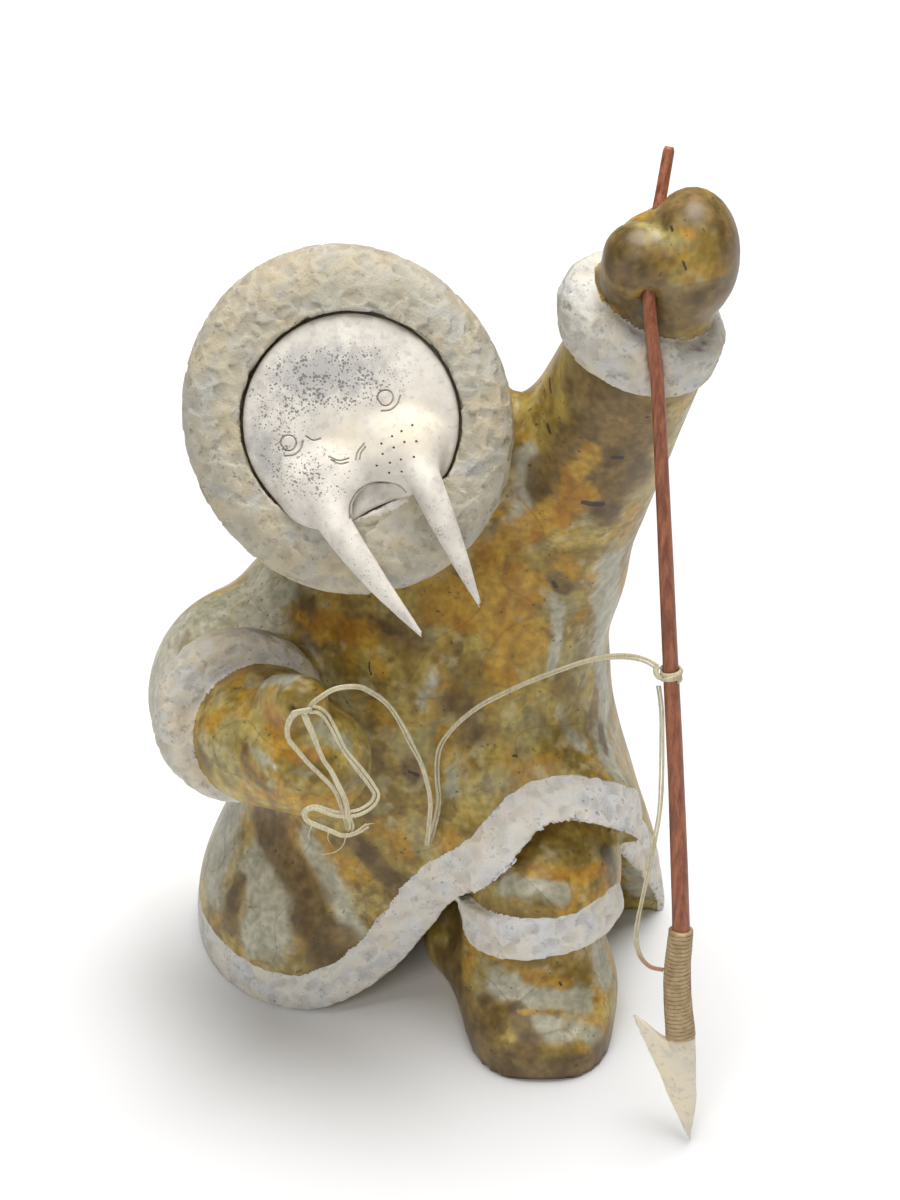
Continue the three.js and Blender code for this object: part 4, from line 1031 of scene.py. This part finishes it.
FRAYS = [[(-40.8, -101.2, 112.6), (-41.8, -102, 110.2), (-42.3, -102.6, 107.8)],
         [(-31, -102.8, 109.4), (-31.8, -103.4, 106.4), (-34, -104, 104.2), (-38.5, -104.3, 103.2)],
         [(-36, -102.5, 111), (-36.4, -103.2, 108.6), (-35.6, -103.6, 106.8)],
         [(-25, -101.6, 112.3), (-23.6, -101.4, 112.8), (-22.4, -101, 112.4)]]


def build_frays():
    """Loose fibre ends and the tight turn where the strands leave the mitt."""
    parts = []
    for corners in FRAYS:
        line = curve_points(corners, 0.4)
        width = np.linspace(0.22, 0.08, len(line))
        parts.append(tube(line, (0, -1, 0.3), width, width, 6))
    for i in range(3):
        line = curve_points([np.array(c) + (0, 0, 0.55 * (i - 1)) for c in HANK_WRAP], 0.4)
        parts.append(tube(line, (0, -1, 0.5), 0.42, 0.3, 8, 2.4))
    piece = make_object("sinew_frays", *joined(parts), SINEW, along=0)
    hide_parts("line_hank")


def build_line():
    knot = build_knot()
    cords = [
        (*sinew_strip("sinew_hand_to_shaft", LINE_HAND_TO_SHAFT, 1.7, 0.7, 71), 1.7, "object", [knot]),
        (*sinew_strip("sinew_shaft_to_head", LINE_SHAFT_TO_HEAD, 1.5, 0.7, 75, redness=1), 1.5, "object", [])]
    replaced = ["line_hand_to_shaft", "line_shaft_to_head"]
    for name, route in (("left", HANK_LEFT), ("middle", HANK_MIDDLE), ("right", HANK_RIGHT)):
        for number, aside in ((1, -0.6), (2, 0.65)):
            piece, points = sinew_strip(f"sinew_hank_{name}_{number}", route, 1.05, 0.5, 80 + 7 * len(cords),
                                        strands=1, taper=0.3, aside=aside)
            cords.append((piece, points, 1.05, "bare", []))
            replaced.append("line_hank")
    for (piece, points, width, far_end, on_it), node in zip(cords, replaced):
        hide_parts(node)
        path = metres(points)
        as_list(on_it)


build_line()
build_frays()


# ------------------------------------------------------------------ harpoon
def build_shaft():
    wood = Shader("reddened_wood")
    streak = wood.noise(1.4, 5, 0.65, wood.stretched(wood.place, (1, 1, 0.045)), 1.0)
    fine = wood.noise(0.5, 3, 0.6, wood.stretched(wood.place, (1, 1, 0.06)), 2.0)
    colour = wood.mix(wood.ramp(streak, 0.35, 0.65), (0.2, 0.056, 0.026), (0.44, 0.15, 0.065))
    colour = wood.mix(wood.ramp(fine, 0.55, 0.7, 0, 0.5), colour, (0.12, 0.038, 0.022))
    colour = wood.dabbed(colour, (0.52, 0.21, 0.1), 30, 0.5, 0.7, 0.5, 3.0)
    wood.finish(colour, wood.ramp(streak, 0.3, 0.7, 0.34, 0.5), wood.bump(fine, 0.15, 0.5))
    radius = SHAFT_RADII[0] + (SHAFT_RADII[1] - SHAFT_RADII[0]) * SHAFT_SHARE
    radius = radius * (1 + 0.02 * noise_along(len(SHAFT_LINE), 1, 14, 51)) - 0.02
    radius[0] *= 0.72
    radius[1] *= 0.95
    rod = tube(SHAFT_LINE, (0, -1, 0.2), radius, radius, 28)
    shaft = make_object("harpoon_rod", *rod, wood.material)
    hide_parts("harpoon_shaft")


def head_axes():
    side = np.array([-1.0, 0, 0])
    side = unit(side - HEAD_AXIS * (side @ HEAD_AXIS))
    return np.stack([side, np.cross(HEAD_AXIS, side), HEAD_AXIS])


HEAD = head_axes()


def on_head(side, depth, along):
    return HEAD_POINT + np.array([side, depth, along]) @ HEAD


def hull_planes(corners):
    """Outward face planes of the hull of a form's corners, mirrored through its middle plane."""
    points = [c for corner in corners for c in {corner, (corner[0], -corner[1], corner[2])}]
    mesh = bmesh.new()
    for point in sorted(points):
        mesh.verts.new(point)
    hull = bmesh.ops.convex_hull(mesh, input=mesh.verts)
    centre = np.mean(points, axis=0)
    planes = []
    for face in [f for f in hull["geom"] if isinstance(f, bmesh.types.BMFace)]:
        face.normal_update()
        normal = np.array(face.normal)
        offset = normal @ np.array(face.verts[0].co)
        planes.append((normal, offset) if normal @ centre < offset else (-normal, -offset))
    mesh.free()
    return planes


def build_head():
    blade, barb = hull_planes(BLADE_CORNERS), hull_planes(BARB_CORNERS)
    ends = [np.array([HEAD_NECK["side"], 0, HEAD_NECK[k]]) for k in ("start", "end")]

    def field(p):
        q = (p - HEAD_POINT) @ HEAD.T
        forms = []
        for planes in (blade, barb):
            d = q @ planes[0][0] - planes[0][1]
            for normal, offset in planes[1:]:
                d = smooth_max(d, q @ normal - offset, 0.35)
            forms.append(d)
        return smooth_min(smooth_min(*forms, 1.2), limb(q, *ends, [HEAD_NECK["radius"] - 0.1] * 2), 1.5)

    vertices, quads = surface_nets(field, (52, -124, -1.5), (80, -101, 54), 0.6)
    vertices = settle(field, vertices, 0.3, 3)
    triangles = triangles_of(vertices, quads)
    normals = vertex_normals(vertices, triangles)
    scrape = 0.09 * value_noise(vertices, 3.5, 55) + 0.05 * value_noise(vertices, 1.3, 56)
    vertices = vertices - normals * (0.1 + scrape)[:, None]
    vertices[:, 2] = np.maximum(vertices[:, 2], 0.2)
    head = make_object("harpoon_point", vertices, triangles, ANTLER, pores=0.12, shade=0, ink=0, warm=1)
    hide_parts("harpoon_head")


def build_lashing():
    tan = Shader("lashing")
    fibre = tan.noise(0.45, 4, 0.65, tan.stretched(tan.place, (0.3, 0.3, 2.2)), 1.0)
    tone = tan.noise(5, 3, 0.5, tan.place, 2.0)
    colour = tan.mix(tan.ramp(tone, 0.35, 0.65), (0.4, 0.27, 0.13), (0.56, 0.42, 0.23))
    colour = tan.mix(tan.ramp(fibre, 0.45, 0.68, 0, 0.6), colour, (0.2, 0.125, 0.06))
    # Painted shade: the grooves between the turns of the lashing are coloured darker.
    colour = tan.mix(tan.ramp(tan.attribute("groove"), 0.35, 1.0, 0, 0.75), colour, (0.13, 0.08, 0.04))
    tan.finish(colour, 0.5, tan.bump(fibre, 0.2, 0.6), Specular_IOR_Level=0.4)
    top, _, _ = shaft_at(LASHING["shaft_share"])
    line = curve_points([on_head(HEAD_NECK["side"], 0, LASHING["foot"]),
                         on_head(HEAD_NECK["side"] / 2, 0, LASHING["middle"]), top], 0.16)
    count, sides = len(line), 60
    share = np.linspace(0, 1, count)
    _, side, out = frames_along(line, np.array([0, -1.0, 0.2]))
    angles = np.linspace(0, 2 * math.pi, sides, endpoint=False)
    travel = share[:, None] * length_of(line) + 0.25 * noise_along(count, 0.16, 4, 57)[:, None]
    phase = (travel / 1.35 + angles / (2 * math.pi)) % 1
    groove = np.abs(2 * phase - 1) ** 5
    radius = LASHING["radii"][0] + (LASHING["radii"][1] - LASHING["radii"][0]) * share
    radius = radius[:, None] - 0.08 - 0.42 * groove
    lumps = np.stack([angles * 4 + 0 * phase, travel + 0 * phase, 0 * phase], -1).reshape(-1, 3)
    radius = radius - 0.12 * (0.5 + 0.5 * value_noise(lumps, 2.2, 58).reshape(radius.shape))
    radius = radius * ramp(np.minimum(share, 1 - share)[:, None], -0.012, 0.006)
    rings = (line[:, None] + side[:, None] * (radius * np.cos(angles))[..., None]
             + out[:, None] * (radius * np.sin(angles))[..., None])
    _, faces = sweep(line, side, out, np.ones(count), np.ones(count), sides)
    vertices = np.concatenate([rings.reshape(-1, 3), line[:1], line[-1:]])
    lashing = make_object("lashing_turns", vertices, faces, tan.material,
                          groove=np.concatenate([groove.ravel(), [1, 1]]))
    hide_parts("harpoon_lashing")


def antler():
    s = Shader("antler")
    pores, shade, ink, warm = (s.attribute(n) for n in ("pores", "shade", "ink", "warm"))
    cloud = s.noise(9, 4, 0.6, s.place, 1.0)
    colour = s.mix(s.ramp(cloud, 0.38, 0.62), (0.68, 0.63, 0.56), (0.82, 0.77, 0.68))
    warmth = s.ramp(s.noise(6, 3, 0.5, s.place, 2.0), 0.35, 0.65, 0.4, 1)
    colour = s.mix(s.math("MULTIPLY", warm, warmth), colour, (0.88, 0.77, 0.57))
    colour = s.dabbed(colour, (0.48, 0.455, 0.43), 2.2, 0.52, 0.68, 0.45, 3.0, 3, 0.6)
    clump = s.math("MULTIPLY_ADD", s.noise(3.2, 5, 0.65, s.place, 6.0), 1.6, -0.8)
    colour = s.mix(s.ramp(s.math("ADD", shade, clump), 0.1, 0.9, 0, 0.7), colour, (0.36, 0.355, 0.35))
    size = s.noise(3, 2, 0.5, s.place, 4.0)
    reach = s.math("MULTIPLY", pores, s.ramp(size, 0.35, 0.65, 0.16, 0.5))
    hole = s.math("LESS_THAN", s.cells(0.95), reach)
    prick = s.math("LESS_THAN", s.cells(0.6), s.math("MULTIPLY", reach, 0.62))
    hole = s.math("MAXIMUM", hole, prick)
    colour = s.mix(s.math("MULTIPLY", hole, 0.7), colour, (0.09, 0.085, 0.08))
    colour = s.mix(ink, colour, (0.05, 0.045, 0.04))
    normal = s.bump(s.math("SUBTRACT", 1.0, hole), 0.12, 0.5)
    normal = s.bump(s.noise(1.1, 3, 0.6, s.place, 5.0), 0.08, 0.4, normal)
    return s.finish(colour, s.ramp(cloud, 0.3, 0.7, 0.46, 0.56), normal, Specular_IOR_Level=0.35)


ANTLER = antler()
build_shaft()
build_head()
build_lashing()


# ------------------------------------------------------------------ walrus face
PLATE_RADIUS, PLATE_CHIN_V = 31.6, -25.7
PLATE_RIM_W, PLATE_CROWN_W = 1, 5
FACE_MIDDLE_U = -2.6
PADS = dict(u=12, v=-14, w=2.5, across=13.5, along=12, depth=6.6)
TUSKS = [[(-17.2, -15, 3.4), (-15.9, -26, 8.3), (-12, -44, 10.4), (-6, -65.5, 8.5)],
         [(13, -15, 3.4), (13, -26, 8.3), (13, -44, 10.4), (12.8, -64.1, 8.5)]]
TUSK_RADII = (5.2, 0.5)
LIP = [(-11.2, -25.2), (-10.6, -23.6), (-9.3, -21.4), (-5.4, -18.9), (-1.4, -18.7), (2.8, -20.4),
       (5.4, -22.5), (6.4, -25.2)]
EYE_RING = [(-2.3, 0.6), (-1.2, 2.0), (0.6, 2.2), (2.1, 1.0), (2.1, -0.9), (0.4, -2.2), (-1.5, -1.7),
            (-2.3, 0.6)]
EYE_ARC = [(4.2, -1.2), (2.6, -2.9), (0.2, -3.7), (-2.6, -3.0)]
EYES = [(12.2, 2.4), (-19.0, 1.9)]
NOSTRILS = [[(-9.6, -6.4), (-7.4, -8.6), (-4.6, -9.2)], [(-9.4, -7.5), (-7.7, -9.5), (-5.2, -10.2)],
            [(-3.0, -10.4), (-1.6, -8.6), (1.1, -7.1)], [(-2.0, -10.9), (-0.9, -9.3), (1.1, -8.1)]]
BROW = [(-13.5, 1.7), (-12.1, -0.2), (-9.9, -0.7)]
WHISKERS = [(16.2, -7.9), (12.6, -8.2), (9.5, -8.4), (5.8, -9.1), (12.1, -11.4), (8.6, -11.6),
            (4.9, -12), (15.4, -12.6), (12.9, -16.4), (9.1, -15.6), (5.8, -15.2), (1.9, -14.4),
            (7.8, -18.9), (4.4, -17.8)]
FACE_BOX = (-34, -68, -8), (34, 34, 18)
FACE_CELL = 0.95


def tusk_distance(q):
    best = np.full(q.shape[:-1], 1e3)
    for corners in TUSKS:
        line = curve_points(corners, 1.6)
        share = np.linspace(0, 1, len(line))
        radius = TUSK_RADII[1] + (TUSK_RADII[0] - TUSK_RADII[1]) * (1 - share ** 1.7)
        for start, end, thick, thin in zip(line[:-1], line[1:], radius[:-1], radius[1:]):
            d, t = beside(q, start, end)
            best = np.minimum(best, d - thick - t * (thin - thick))
    return best


def face_field(q):
    """The walrus face in its own plane: u across, v up, w out."""
    u, v, w = q[..., 0], q[..., 1], q[..., 2]
    r = np.hypot(u, v)
    crown = PLATE_RIM_W + (PLATE_CROWN_W - PLATE_RIM_W) * (1 - (r / PLATE_RADIUS) ** 2)
    plate = smooth_max(r - PLATE_RADIUS, w - crown, 1.2)
    plate = smooth_max(plate, PLATE_CHIN_V - v, 0.8)
    d = plate
    for sign in (-1, 1):
        pad = ellipsoid(q, [FACE_MIDDLE_U + sign * PADS["u"], PADS["v"], PADS["w"]],
                        [PADS["across"], PADS["along"], PADS["depth"]])
        d = smooth_min(d, pad, 3.5)
    mouth = np.hypot((u + 2.4) / 8.6, (v + 27) / 8.2) - 1
    d = smooth_max(d, -np.maximum(mouth * 7, 3.2 - w), 0.5)
    d = smooth_min(d, tusk_distance(q), 3.2)
    return np.maximum(d, -w - 5.7)


def stroke_distance(uv, strokes):
    lines = [curve_points([(a, b, 0) for a, b in stroke], 0.3)[:, :2] for stroke in strokes]
    return np.min([path_distance(uv, line) for line in lines], axis=0)


def build_face():
    vertices, quads = surface_nets(face_field, *FACE_BOX, FACE_CELL)
    vertices = settle(face_field, vertices, 0.5, 3)
    triangles = triangles_of(vertices, quads)
    strokes = [[(u + a, v + b) for a, b in form] for form in (EYE_RING, EYE_ARC) for u, v in EYES]
    strokes += NOSTRILS + [BROW]
    dots = np.array(WHISKERS)
    mirrored = np.stack([2 * FACE_MIDDLE_U - dots[:, 0], dots[:, 1]], -1)

    def marks(q):
        """Distances to the engraved lines, the lip, and the whisker dots on the right and left."""
        uv = q[:, :2]
        found = [stroke_distance(uv, strokes), stroke_distance(uv, [LIP]),
                 nearest(uv, dots), nearest(uv, mirrored)]
        return [np.where(q[:, 2] > 0.5, m, 9.0) for m in found]

    for reach in (1.4, 0.8, 0.5):
        close = np.min(marks(vertices), axis=0) < reach
        before = len(vertices)
        vertices, triangles = refine(vertices, triangles, close[triangles].any(1))
        vertices[before:] = settle(face_field, vertices[before:], 0.2, 2)
    normals = vertex_normals(vertices, triangles)
    line, lip, right, left = marks(vertices)
    cut = 0.38 * ramp(-line, -0.34, -0.08) + 0.45 * ramp(-lip, -0.4, -0.1)
    cut += 0.35 * ramp(-right, -0.42, -0.18) + 0.18 * ramp(-left, -0.36, -0.15)
    cut += 0.06 + 0.06 * value_noise(vertices, 5, 63) + 0.03 * value_noise(vertices, 1.8, 64)
    cut = cut * (vertices[:, 2] > -5.5)
    ink = np.clip(0.55 * ramp(-line, -0.32, -0.1) + 0.6 * ramp(-lip, -0.36, -0.1)
                  + 0.95 * ramp(-right, -0.4, -0.25) + 0.3 * ramp(-left, -0.32, -0.16), 0, 1)
    u, v = vertices[:, 0], vertices[:, 1]

    def glow(most, middle, reach, slant=0, power=2):
        """A soft spot on the face."""
        across, up = (u - middle[0]) / reach[0], (v - middle[1] + slant * u) / reach[1]
        return most * np.exp(-across ** 2 - up ** power)

    pores = glow(1.3, (-2, 14), (21, 10.5), 0.25, 4) + glow(0.75, (-22, -1), (10, 17))
    pores = np.clip(pores + glow(0.6, (-12, -12), (12, 10)), 0.12 + 0.3 * (v < -30), 1)
    shade = glow(0.95, (-1, 16), (19, 9), 0.25) + glow(0.9, (-27, 3), (5, 9))
    warm = glow(0.9, (15, -8), (9, 9)) + glow(0.7, (-3, -3), (7, 7))
    vertices = vertices - normals * cut[:, None]
    face = make_object("walrus_inlay", FACE_CENTRE + vertices @ FACE, triangles, ANTLER,
                       pores=pores, shade=shade, ink=ink, warm=np.clip(warm, 0, 1))
    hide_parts("walrus_face")
    print("walrus_inlay", len(triangles), "triangles")


build_face()


# ------------------------------------------------------------------ studio
FLOOR_HALF = 6.0


def make_studio():
    h = FLOOR_HALF
    floor_mesh = bpy.data.meshes.new("floor")
    floor_mesh.from_pydata([(-h, -h, 0), (h, -h, 0), (h, h, 0), (-h, h, 0)], [], [(0, 1, 2, 3)])
    floor = bpy.data.objects.new("floor", floor_mesh)
    bpy.context.scene.collection.objects.link(floor)
    paper = Shader("studio_paper")
    tone = paper.mix(paper.noise(400, 2, 0.5), (0.86, 0.86, 0.86), (0.88, 0.88, 0.88))
    floor_mesh.materials.append(paper.finish(tone, 0.9))

    world = bpy.data.worlds.new("studio")
    world.use_nodes = True
    background = world.node_tree.nodes["Background"]
    background.inputs[0].default_value = (1, 1, 1, 1)
    background.inputs[1].default_value = 0.08
    bpy.context.scene.world = world
    bpy.context.scene.view_settings.view_transform = "Standard"

    def lamp(name, place, aim, size, watts):
        data = bpy.data.lights.new(name, "AREA")
        data.shape = "DISK"
        data.size = size
        data.energy = watts
        light = bpy.data.objects.new(name, data)
        light.location = place
        light.rotation_euler = (Vector(aim) - Vector(place)).to_track_quat("-Z", "Y").to_euler()
        bpy.context.scene.collection.objects.link(light)

    lamp("key", (0.14, 0.38, 3.0), (0, 0, 0.1), 2.2, 113)
    lamp("fill", (-0.8, -2.6, 2.3), (0, 0, 0.12), 2.0, 34)


make_studio()

bpy.context.view_layer.update()
